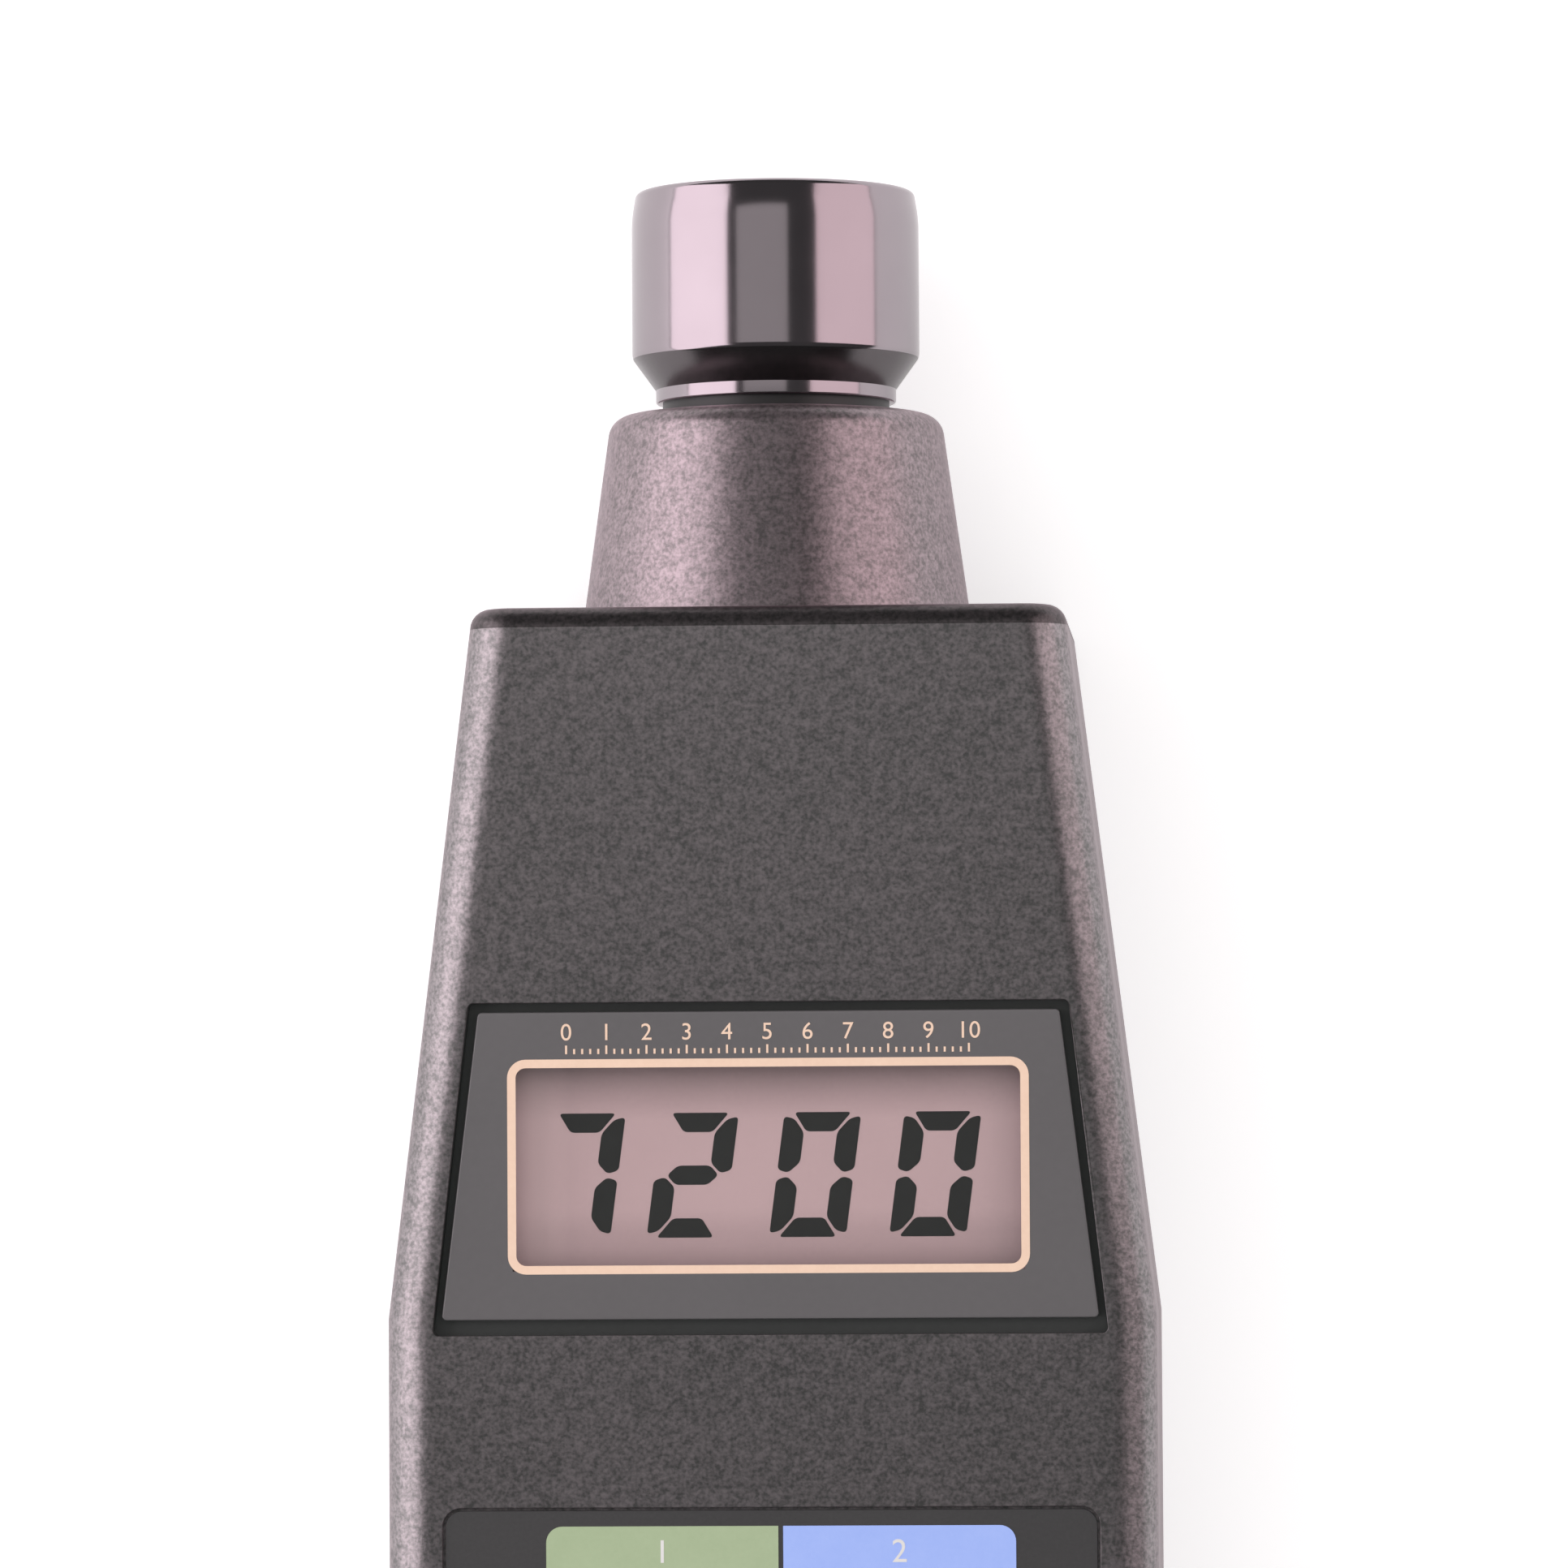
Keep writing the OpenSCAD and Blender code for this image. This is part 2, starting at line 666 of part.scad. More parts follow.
module laser_module() {
    lens_hole_d = laser_d / 2;
    color("#b08d3c") on_nose(y_holder) translate([laser_x, 0, 0]) difference() {
        cylinder(d = laser_d, h = laser_len);
        translate([0, 0, laser_len - laser_mouth]) cylinder(d = lens_hole_d, h = laser_mouth + cut);
    }
}

module photodiode() {
    dome_r = diode_d / 2;
    color("#31313d") on_nose(y_holder) translate([diode_x, 0, 0]) rotate_extrude()
        polygon(concat([[0, 0], [dome_r, 0]], turned_arc(0, diode_h - dome_r, dome_r, 0, 90)));
}

module sensor_board() {
    color(board_green) on_nose(y_sensor) difference() {
        cylinder(d = holder_flange_d, h = sensor_board_t);
        for (side = [-1, 1]) translate([0, side * sensor_screw_r, -cut])
            cylinder(d = sensor_screw_d + 2 * slip, h = sensor_board_t + 2 * cut);
    }
}

// Pan head screw pointing along +Z, its head under the origin
module pan_screw(shank_d, length, head, head_h) {
    cross_len = head * 0.64;
    cross_w = shank_d * 0.3;
    cross_depth = head_h / 2;
    difference() {
        union() {
            cylinder(d = shank_d, h = length);
            translate([0, 0, -head_h]) cylinder(d = head, h = head_h);
        }
        for (turn = [0, 90]) rotate(turn) translate([-cross_len / 2, -cross_w / 2, -head_h - cut])
            cube([cross_len, cross_w, cross_depth + cut]);
    }
}

module sensor_screws() {
    color(dark_steel) on_nose(y_sensor) for (side = [-1, 1]) translate([0, side * sensor_screw_r, 0])
        pan_screw(sensor_screw_d, sensor_screw_len, 2 * sensor_screw_d, sensor_head_t);
}

module display_window() {
    color("#4a4a4e") translate([0, 0, window_z]) linear_extrude(height = window_t)
        polygon(rounded(window_points(0, 0), window_corner_r));
}

module lcd_frame() {
    inner_w = lcd_w + 2 * slip;
    inner_h = lcd_h + 2 * slip;
    outer_w = inner_w + 2 * lcd_frame_wall;
    outer_h = inner_h + 2 * lcd_frame_wall;
    color("#d9d9d4") translate([0, y_view, board_front]) difference() {
        plate(outer_w, outer_h, lcd_frame_wall, 0, lcd_top - board_front);
        translate([-inner_w / 2, -inner_h / 2, -cut]) cube([inner_w, inner_h, lcd_top + cut]);
    }
}

module lcd_panel() {
    color("#a59090") translate([0, y_view, 0]) {
        translate([-lcd_w / 2, -lcd_h / 2, ledge_z]) cube([lcd_w, lcd_h, glass_t]);
        translate([-lcd_w / 2, -lcd_h / 2 + lcd_ledge, ledge_z - glass_t])
            cube([lcd_w, lcd_h - 2 * lcd_ledge, glass_t]);
    }
}

module contact_strips() {
    strip_len = lcd_w - 2 * strip_inset;
    strip_at = lcd_h / 2 - lcd_ledge / 2;
    color("#b5655a") for (side = [-1, 1])
        translate([-strip_len / 2, y_view + side * strip_at - strip_w / 2, board_front])
            cube([strip_len, strip_w, strip_h]);
}

module main_board() {
    high = half_w(board_top) - board_margin;
    low = half_w(board_low) - board_margin;
    y0 = y_shoulder - board_low;
    y1 = y_shoulder - board_top;
    color(board_green) difference() {
        translate([0, 0, board_back]) linear_extrude(height = board_t)
            polygon([[-low, y0], [low, y0], [low, y_kink], [high, y1], [-high, y1], [-low, y_kink]]);
        at_points(board_screw_at) translate([0, 0, board_back - cut])
            cylinder(d = board_screw_d + 6 * slip, h = board_t + 2 * cut);
    }
}

module processor() {
    side_legs = 4;
    leg_pitch = chip_w / (2 * side_legs + 3);
    leg_w = leg_pitch * 0.4;
    leg_t = 0.4;
    leg_len = 2;
    color("#1d1d20") translate([0, y_view, board_back - chip_h]) {
        translate([-chip_w / 2, -chip_w / 2, 0]) cube([chip_w, chip_w, chip_h]);
        for (turn = [0 : 90 : 270], i = [-side_legs : side_legs]) rotate(turn)
            translate([chip_w / 2 - join, i * leg_pitch - leg_w / 2, chip_h - leg_t])
                cube([leg_len, leg_w, leg_t]);
    }
}

module crystal() {
    can_w = 11;
    can_d = 4.6;
    can_h = 3.6;
    can_x = -0.21 * body_w;
    below_kink = 6;
    color("#b9bcc0") translate([can_x, y_kink - below_kink, 0])
        plate(can_w, can_d, can_d / 2 - end_flat, board_back - can_h, can_h);
}

module capacitors() {
    first_x = 0.12 * body_w;
    below_kink = 8;
    color("#3c4a78") for (x = [first_x, first_x + 1.5 * cap_d])
        translate([x, y_kink - below_kink, board_back - cap_len]) cylinder(d = cap_d, h = cap_len);
}

module control_panel() {
    under = body_d - panel_sink - panel_t;
    color(smooth_black) difference() {
        translate([0, y_panel, 0]) plate(panel_w, panel_h, panel_corner_r, under, panel_t);
        translate([0, y_switch, 0]) plate(well_w, well_h, well_corner_r, under - cut, panel_t + 2 * cut);
    }
}

module slide_switch() {
    color("#b9bcc0") translate([0, y_switch, board_front]) difference() {
        translate([-switch_w / 2, -switch_d / 2, 0]) cube([switch_w, switch_d, switch_h]);
        translate([-switch_in_w / 2, -switch_in_d / 2, switch_floor - rest_gap])
            cube([switch_in_w, switch_in_d, slider_foot_t + 2 * rest_gap]);
        translate([-slot_w / 2, -slot_d / 2, switch_floor]) cube([slot_w, slot_d, switch_h]);
    }
}

// The knob and its slider rest at the left end of their travel
module switch_slider() {
    color("#e4e2dc") translate([-switch_travel / 2, y_switch, slider_z]) {
        translate([-slider_foot_w / 2, -slider_foot_d / 2, 0])
            cube([slider_foot_w, slider_foot_d, slider_foot_t]);
        translate([-slider_w / 2, -slider_t / 2, 0])
            cube([slider_w, slider_t, body_d + knob_proud - socket_roof - slider_z]);
    }
}

module switch_knob() {
    ridge = 0.7;
    ridge_depth = 0.45;
    edge = 0.6;
    top = body_d + knob_proud;
    color(smooth_black) translate([-switch_travel / 2, y_switch, 0]) difference() {
        union() {
            plate(knob_w, knob_h, well_corner_r - knob_clear, knob_base, top - edge - knob_base);
            plate(knob_w - 2 * edge, knob_h - 2 * edge, edge, top - edge - join, edge + join);
        }
        translate([-slider_w / 2 - slip, -slider_t / 2 - slip, knob_base - cut])
            cube([slider_w + 2 * slip, slider_t + 2 * slip, top - socket_roof + slip - knob_base + cut]);
        for (i = [-1.5 : 1.5]) translate([i * 2 * ridge - ridge / 2, -knob_h, top - ridge_depth])
            cube([ridge, 2 * knob_h, cut]);
    }
}

module side_button() {
    outer = body_w / 2 + button_proud;
    shoulder = 0.6;
    color("#3a3a3d") union() {
        button_bar(0, flange_x + join, outer - shoulder);
        hull() {
            button_bar(0, outer - shoulder - join, outer - shoulder);
            button_bar(-shoulder, outer - shoulder, outer);
        }
        translate([flange_x, y_button, button_z]) rotate([90, 0, 90])
            plate(button_len + 2 * button_rim, button_h + 2 * button_rim, button_rim, 0, button_flange_t);
        translate([plunger_tip, y_button, plunger_z]) rotate([0, 90, 0])
            cylinder(d = plunger_d + 2 * stem_rim, h = stem_len + join);
    }
}

module button_switch() {
    color("#232327") difference() {
        translate([tact_front - tact_len, y_button - tact_w / 2, board_back - tact_h])
            cube([tact_len, tact_w, tact_h]);
        translate([tact_front - plunger_in - button_travel - press_spare, y_button, plunger_z])
            rotate([0, 90, 0]) cylinder(d = plunger_d + 3 * slip, h = tact_len);
    }
}

module button_plunger() {
    tail = tact_front - plunger_in;
    color("#c9c6bd") translate([tail, y_button, plunger_z]) rotate([0, 90, 0])
        cylinder(d = plunger_d, h = plunger_tip - tail);
}

module battery_door() {
    grips = 5;
    grip_at = 12;
    grip_w = 14;
    grip_pitch = 2.4;
    groove = 1.1;
    groove_depth = 0.6;
    color(black_abs) difference() {
        union() {
            intersection() {
                housing_form();
                translate([-door_w / 2, y_tail - cut, 0]) cube([door_w, door_end - y_tail + cut, door_t]);
            }
            translate([-door_w / 2 - tongue_w, y_tail + wall, tongue_z])
                cube([door_w + 2 * tongue_w, door_end - y_tail - wall, tongue_t]);
        }
        for (i = [0 : grips - 1]) translate([-grip_w / 2, y_tail + grip_at + i * grip_pitch, -cut])
            cube([grip_w, groove, groove_depth + cut]);
    }
}

module battery() {
    edge_r = 2.2;
    color("#7c7f86") {
        translate([0, battery_y + battery_len, battery_z + battery_t / 2]) rotate([90, 0, 0])
            plate(battery_w, battery_t, edge_r, 0, battery_len);
        for (end = terminals)
            translate([end[0], battery_y + battery_len - join, battery_z + battery_t / 2])
                rotate([-90, 0, 0]) cylinder(d = end[1], h = terminal_h + join);
    }
}

module battery_snap() {
    snap_w = terminal_pitch + large_terminal_d + 2 * snap_rim;
    snap_d = large_terminal_d + 2 * snap_rim;
    color("#26262a") difference() {
        translate([0, battery_y + battery_len + slip + snap_t, battery_z + battery_t / 2])
            rotate([90, 0, 0]) plate(snap_w, snap_d, snap_d / 2 - end_flat, 0, snap_t);
        for (end = terminals)
            translate([end[0], battery_y + battery_len - cut, battery_z + battery_t / 2])
                rotate([-90, 0, 0]) cylinder(d = end[1] + 2 * slip, h = terminal_h + slip + cut);
    }
}

module case_screws() {
    color(dark_steel) at_points(case_screw_at) translate([0, 0, seat_z])
        pan_screw(case_screw_d, case_screw_len, head_d, head_t);
}

module board_screws() {
    color(dark_steel) at_points(board_screw_at) translate([0, 0, board_back])
        pan_screw(board_screw_d, board_screw_len, board_head_d, board_head_t);
}

front_cover();
rear_cover();
nose_cone();
lock_ring();
lens_collar();
front_lens();
lens_retainer();
optics_holder();
laser_module();
photodiode();
sensor_board();
sensor_screws();
display_window();
lcd_frame();
lcd_panel();
contact_strips();
main_board();
processor();
crystal();
capacitors();
control_panel();
slide_switch();
switch_slider();
switch_knob();
side_button();
button_switch();
button_plunger();
battery_door();
battery();
battery_snap();
case_screws();
board_screws();
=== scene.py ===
import json
from math import cos, pi, radians, sin, sqrt, tan

import bmesh
import bpy
from mathutils import Matrix, Vector

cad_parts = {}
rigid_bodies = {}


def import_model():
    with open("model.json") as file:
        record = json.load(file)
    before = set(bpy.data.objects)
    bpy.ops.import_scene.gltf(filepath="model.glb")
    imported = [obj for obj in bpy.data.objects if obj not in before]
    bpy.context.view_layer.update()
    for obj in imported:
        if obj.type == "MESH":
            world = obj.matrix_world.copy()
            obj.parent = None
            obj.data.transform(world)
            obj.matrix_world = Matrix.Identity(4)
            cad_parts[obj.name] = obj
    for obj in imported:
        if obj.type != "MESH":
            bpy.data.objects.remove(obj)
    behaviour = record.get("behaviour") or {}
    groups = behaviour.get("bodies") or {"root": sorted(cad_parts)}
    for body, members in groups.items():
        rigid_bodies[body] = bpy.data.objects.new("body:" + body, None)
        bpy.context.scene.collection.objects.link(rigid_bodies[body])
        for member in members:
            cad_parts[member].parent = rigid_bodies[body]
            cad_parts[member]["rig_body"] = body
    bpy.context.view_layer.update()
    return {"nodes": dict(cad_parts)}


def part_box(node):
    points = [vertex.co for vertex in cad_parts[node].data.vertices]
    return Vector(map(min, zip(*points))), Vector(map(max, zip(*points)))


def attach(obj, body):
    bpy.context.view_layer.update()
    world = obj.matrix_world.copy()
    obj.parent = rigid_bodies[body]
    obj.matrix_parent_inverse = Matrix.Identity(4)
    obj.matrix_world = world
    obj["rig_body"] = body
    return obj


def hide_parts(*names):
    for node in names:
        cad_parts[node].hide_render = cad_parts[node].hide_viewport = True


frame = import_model()
nodes = frame["nodes"]
mm = 0.001
smoothAngle = 32  # degrees up to which neighbouring faces shade as one
print("frame loaded:", len(nodes), "nodes")


# shader maths

class Wire:  # an output socket whose operators add Math nodes
    def __init__(self, finish, socket):
        self.finish = finish
        self.socket = socket

    def math(self, operation, a, b=0.0):
        return self.finish.node("ShaderNodeMath", {"operation": operation}, {0: a, 1: b})

    def other(self, name):  # another output of the same node
        return Wire(self.finish, self.socket.node.outputs[name])

    def __add__(self, other):
        return self.math("ADD", self, other)

    def __radd__(self, other):
        return self.math("ADD", other, self)

    def __sub__(self, other):
        return self.math("SUBTRACT", self, other)

    def __rsub__(self, other):
        return self.math("SUBTRACT", other, self)

    def __mul__(self, other):
        return self.math("MULTIPLY", self, other)

    def __rmul__(self, other):
        return self.math("MULTIPLY", other, self)

    def __gt__(self, other):
        return self.math("GREATER_THAN", self, other)

    def __lt__(self, other):
        return self.math("LESS_THAN", self, other)

    def __abs__(self):
        return self.math("ABSOLUTE", self)


class Finish:  # one material, or the world, and the one method that makes its nodes
    def __init__(self, name, owner=None):
        self.owner = owner or bpy.data.materials.new(name)
        self.owner.use_nodes = True
        self.tree = self.owner.node_tree
        self.tree.nodes.clear()

    def node(self, kind, settings=None, sockets=None, out=0):
        made = self.tree.nodes.new(kind)
        for key, value in (settings or {}).items():
            setattr(made, key, value)
        for key, value in (sockets or {}).items():
            if isinstance(value, Wire):
                self.tree.links.new(value.socket, made.inputs[key])
            else:
                made.inputs[key].default_value = value
        return Wire(self, made.outputs[out]) if made.outputs else made

    def place(self, scale=(1, 1, 1)):
        spot = self.node("ShaderNodeTexCoord", out="Object")
        return self.node("ShaderNodeMapping", None, {"Vector": spot, "Scale": scale})

    def axes(self, source="Object"):
        spot = self.node("ShaderNodeTexCoord", out=source)
        x = self.node("ShaderNodeSeparateXYZ", None, {0: spot})
        return x, x.other("Y"), x.other("Z")

    def noise(self, size, detail=2.0, stretch=(1, 1, 1)):  # size of a speck in millimetres
        return self.node("ShaderNodeTexNoise", None, {
            "Vector": self.place(stretch), "Scale": 1 / (size * mm), "Detail": detail, "Roughness": 0.55})

    def ramp(self, value, low, high):  # 0 to 1 between two distances in millimetres
        return self.node("ShaderNodeMapRange", None, {
            "Value": value, "From Min": low * mm, "From Max": high * mm})

    def mix(self, factor, a, b):
        return self.node("ShaderNodeMix", {"data_type": "RGBA"}, {0: factor, 6: a, 7: b}, out=2)

    def bump(self, height, depth):  # depth in millimetres
        return self.node("ShaderNodeBump", None, {
            "Strength": 1.0, "Distance": depth * mm, "Height": height})

    def surface(self, sockets):
        shader = self.node("ShaderNodeBsdfPrincipled", None, sockets)
        self.node("ShaderNodeOutputMaterial", None, {"Surface": shader})
        return self.owner


def grey(level, tint=(1, 1, 1)):
    return (level * tint[0], level * tint[1], level * tint[2], 1)


# finishes

mouldedBlackLook = {  # sizes of specks and depth of the grain in millimetres
    "dark": grey(0.18, (0.98, 1.0, 0.98)), "light": grey(0.39, (1.0, 0.93, 0.955)), "metal": 0.93,
    "grain": 0.34, "pit": 0.9, "patch": 20, "depth": 0.020, "roughness": 0.29,
    "grainContrast": 2.4, "pitContrast": 1.2, "patchContrast": 0.4,
    "specularTint": (1.0, 0.92, 0.95, 1), "sheen": 0.14, "sheenTint": (1.0, 0.76, 0.84, 1)}


def mouldedBlack(name, shade=(1, 1, 1)):  # spark-eroded shell with a dark satin coat
    look = mouldedBlackLook
    # shade scales both colours: the nose end's copy holds painted shade, the cone's painted pink light
    dark, light = ([a * b for a, b in zip(look[key], shade)] + [1] for key in ("dark", "light"))
    f = Finish(name)
    grain = f.noise(look["grain"], 2.5)
    pit = f.noise(look["pit"], 1.5)
    patch = f.noise(look["patch"], 3)
    speck = (0.5 + (grain - 0.5) * look["grainContrast"] + (pit - 0.5) * look["pitContrast"]
        + (patch - 0.5) * look["patchContrast"])
    return f.surface({
        "Base Color": f.mix(speck, dark, light),
        "Metallic": look["metal"],
        "Roughness": look["roughness"] + patch * 0.06 + grain * 0.10,
        "Normal": f.bump(grain * 0.7 + pit * 0.5, look["depth"]),
        "Specular IOR Level": 0.7, "Specular Tint": look["specularTint"],
        "Sheen Weight": look["sheen"], "Sheen Roughness": 0.35, "Sheen Tint": look["sheenTint"]})


def plainPlastic(name, dark, light, roughness, speck=0.5, depth=0.006, coat=0.0):
    f = Finish(name)
    speckle = f.noise(speck, 3)
    cloud = f.noise(14, 2)
    return f.surface({
        "Base Color": f.mix(speckle * 0.6 + cloud * 0.4, dark, light),
        "Roughness": roughness + cloud * 0.10 + speckle * 0.05,
        "Normal": f.bump(speckle, depth),
        "Coat Weight": coat, "Coat Roughness": 0.08})


chromeLook = {
    "dark": (0.345, 0.306, 0.328, 1), "light": (0.40, 0.358, 0.383, 1), "haze": 9, "hairline": 0.12,
    "stretch": (1, 0.02, 1), "depth": 0.0006, "roughness": 0.10}


def polishedChrome():  # hairlines run along the nose
    look = chromeLook
    f = Finish("polishedChrome")
    haze = f.noise(look["haze"], 3)
    hairline = f.noise(look["hairline"], 2, look["stretch"])
    return f.surface({
        "Base Color": f.mix(haze, look["dark"], look["light"]),
        "Metallic": 1.0,
        "Roughness": look["roughness"] + haze * 0.05 + hairline * 0.02,
        "Normal": f.bump(hairline, look["depth"])})


def turnedMetal(name, dark, light, roughness):
    f = Finish(name)
    cloud = f.noise(3, 3)
    scratch = f.noise(0.15, 2, (1, 1, 0.1))
    return f.surface({
        "Base Color": f.mix(cloud * 0.6 + scratch * 0.4, dark, light),
        "Metallic": 1.0,
        "Roughness": roughness + scratch * 0.12,
        "Normal": f.bump(scratch, 0.002)})


borderTint = (1.0, 0.97, 0.99)
windowLook = {
    "clear": (44.5, 17.9), "shift": -0.07, "border": grey(0.122, borderTint),
    "borderLight": grey(0.148, borderTint), "haze": 0.05}


def windowPlate(middle):  # clear plate with a dark print round its clear field
    look = windowLook
    f = Finish("windowPlate")
    x, y = f.axes()[:2]
    across = abs(x - (middle.x + look["shift"] * mm)) < look["clear"][0] * mm / 2
    along = abs(y - middle.y) < look["clear"][1] * mm / 2
    clear = across * along
    cloud = f.noise(18, 2)
    swirl = f.noise(0.7, 2)
    return f.surface({
        "Base Color": f.mix(cloud * 0.6 + swirl * 0.4, look["border"], look["borderLight"]),
        "Roughness": 0.16 + swirl * 0.08,
        "Alpha": 1 - clear * (1 - look["haze"]),
        "Coat Weight": 0.3, "Coat Roughness": 0.05})


lensGlassLook = {
    "dark": (0.16, 0.20, 0.30, 1), "light": (0.22, 0.26, 0.36, 1), "coat": (0.80, 0.78, 1.0, 1),
    "cloud": 6, "cover": 0.55}


def clearLens():
    look = lensGlassLook
    f = Finish("clearLens")
    cloud = f.noise(look["cloud"], 2)
    return f.surface({
        "Base Color": f.mix(cloud, look["dark"], look["light"]),
        "Roughness": 0.03 + cloud * 0.02,
        "Alpha": look["cover"] + cloud * 0.05,
        "Coat Weight": 1.0, "Coat Roughness": 0.02, "Coat Tint": look["coat"]})


displayShadeLook = {  # start, end and strength of each painted shade and painted light on the cell
    "deep": (0.357, 0.252, 0.255, 1), "pale": (0.80, 0.567, 0.574, 1), "even": 0.53, "fleck": 0.25,
    "top": (4.2, 8.4, 0.52), "foot": (3.6, 5.6, 0.17), "left": (17.5, 22.2, 0.50)}


def displayGlass(middle):  # painted shade on the cell towards its top and foot, where the window's border shades it, and painted light at its left end
    look = displayShadeLook
    f = Finish("displayGlass")
    x, y = f.axes()[:2]
    cloud = f.noise(12, 3)
    fleck = f.noise(0.35, 2)
    # painted shade at the top and foot, painted light at the left end
    top, foot, left = (f.ramp(distance, *look[key][:2]) * look[key][2] for key, distance in (
        ("top", y - middle.y), ("foot", middle.y - y), ("left", middle.x - x)))
    toneWithShade = look["even"] + (cloud * 0.5 + fleck * 0.5 - 0.5) * look["fleck"] - top - foot + left
    return f.surface({
        "Base Color": f.mix(toneWithShade, look["deep"], look["pale"]),
        "Roughness": 0.42 + fleck * 0.1,
        "Normal": f.bump(fleck, 0.003)})


def ink(name, dark, light, roughness=0.4):
    f = Finish(name)
    grainy = f.noise(0.4, 3)
    wear = f.noise(2.5, 3)
    return f.surface({
        "Base Color": f.mix(grainy * 0.5 + wear * 0.5, dark, light),
        "Roughness": roughness + grainy * 0.15,
        "Normal": f.bump(grainy, 0.004)})


boardLook = {
    "dark": (0.020, 0.13, 0.045, 1), "light": (0.030, 0.17, 0.060, 1), "track": (0.08, 0.30, 0.11, 1),
    "fineness": 90.0, "trackWidth": 0.035, "cloud": 8}


def circuitBoard():
    look = boardLook
    f = Finish("circuitBoard")
    tracks = f.node("ShaderNodeTexBrick", {"offset": 0.5}, {
        "Vector": f.place(), "Scale": look["fineness"], "Mortar Size": look["trackWidth"],
        "Color1": look["dark"], "Color2": look["light"], "Mortar": look["track"]})
    cloud = f.noise(look["cloud"], 2)
    return f.surface({
        "Base Color": tracks,
        "Roughness": 0.28 + cloud * 0.12,
        "Coat Weight": 0.4})


batteryLook = {"capShare": 0.20, "jacket": (0.016, 0.017, 0.020, 1), "cap": (0.42, 0.20, 0.07, 1)}


def batteryJacket(low, high):  # dark jacket with a coloured end at the terminals
    look = batteryLook
    f = Finish("batteryJacket")
    y = f.axes()[1]
    end = y > high.y - (high.y - low.y) * look["capShare"]
    cloud = f.noise(5, 3)
    return f.surface({
        "Base Color": f.mix(end, look["jacket"], look["cap"]),
        "Metallic": end * 0.8,
        "Roughness": 0.28 + cloud * 0.10,
        "Coat Weight": 0.5})


windowLow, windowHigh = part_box("display_window")
batteryLow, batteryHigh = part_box("battery")
viewMiddle = (Vector(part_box("lcd_panel")[0]) + Vector(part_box("lcd_panel")[1])) / 2
gapShadeTint = (0.95, 1.05, 1.0)
panelTint = (1, 1, 1.01)
segmentTint = (0.85, 1.35, 1.0)
black = mouldedBlack("mouldedBlack")
# a redder copy of the shell black, painted pink light of the side lamps on the cone
coneBlackWithPaintedLight = mouldedBlack("coneBlackWithPaintedLight", (1.06, 0.96, 0.99))
# a darker copy of the shell black, painted shade on the end wall round the nose
endPaintedShade = mouldedBlack("endPaintedShade", (0.36, 0.35, 0.35))
chrome = polishedChrome()
# satin black of the knob, keeper and inner parts, also painted shade on the cone's stub under the lock ring
satinBlackAndGrooveShade = plainPlastic("satinBlackAndGrooveShade", grey(0.020), grey(0.034), 0.34)
# a darker black, painted shade in the gap round the window plate
gapPaintedShade = plainPlastic("gapPaintedShade", grey(0.052, gapShadeTint), grey(0.072, gapShadeTint), 0.5)
panelBlack = plainPlastic("panelBlack", grey(0.042, panelTint), grey(0.066, panelTint), 0.36, 0.3, 0.010)
buttonGrey = plainPlastic("buttonGrey", grey(0.060), grey(0.085), 0.46, 0.25, 0.014)
resin = plainPlastic("darkResin", grey(0.012), grey(0.024), 0.5, 0.2, 0.012)
ivory = plainPlastic("ivoryPlastic", (0.60, 0.58, 0.52, 1), (0.72, 0.70, 0.64, 1), 0.4)
sleeve = plainPlastic("sleeveBlue", (0.03, 0.05, 0.16, 1), (0.05, 0.08, 0.24, 1), 0.22, 0.8, 0.004, 0.5)
rubber = plainPlastic("contactRubber", (0.34, 0.11, 0.09, 1), (0.46, 0.17, 0.13, 1), 0.62, 0.3, 0.02)
# a dark copy of the chrome, painted shade and dark reflection on the collar's chamfer
chamferShadeChrome = turnedMetal("chamferShadeChrome", (0.12, 0.11, 0.115, 1), (0.16, 0.145, 0.15, 1), 0.16)
steel = turnedMetal("platedSteel", (0.42, 0.42, 0.44, 1), (0.58, 0.58, 0.60, 1), 0.26)
brass = turnedMetal("turnedBrass", (0.46, 0.29, 0.07, 1), (0.60, 0.40, 0.12, 1), 0.24)
gold = ink("goldInk", (0.82, 0.58, 0.43, 1), (0.96, 0.73, 0.56, 1), 0.34)
white = ink("whiteInk", (0.72, 0.72, 0.70, 1), (0.82, 0.82, 0.80, 1))
green = ink("greenField", (0.36, 0.465, 0.27, 1), (0.44, 0.55, 0.34, 1))
blue = ink("blueField", (0.32, 0.46, 0.95, 1), (0.40, 0.54, 1.0, 1))
segmentInk = ink("segmentInk", grey(0.007, segmentTint), grey(0.015, segmentTint), 0.5)
displayFace = displayGlass(viewMiddle)
board = circuitBoard()
lens = clearLens()
print("finishes made:", len(bpy.data.materials))


# pieces

def finishPiece(name, bm, finish, body, stands=(), weighted=True, others=()):
    mesh = bpy.data.meshes.new(name)
    mesh.materials.append(finish)
    bm.normal_update()
    for i, (otherFinish, isOther) in enumerate(others):  # faces told by their middle and normal
        mesh.materials.append(otherFinish)
        for face in bm.faces:
            if isOther(face.calc_center_median(), face.normal):
                face.material_index = i + 1
    bm.to_mesh(mesh)
    bm.free()
    mesh.shade_smooth()
    mesh.set_sharp_from_angle(angle=radians(smoothAngle))
    piece = bpy.data.objects.new(name, mesh)
    bpy.context.scene.collection.objects.link(piece)
    if weighted:  # keeps flats flat beside small roundings
        normals = piece.modifiers.new("flats", "WEIGHTED_NORMAL")
        normals.keep_sharp = True
    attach(piece, body)
    if stands:
        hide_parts(*stands)
    return piece


def edgesWhere(bm, test):
    return [e for e in bm.edges if test(e)]


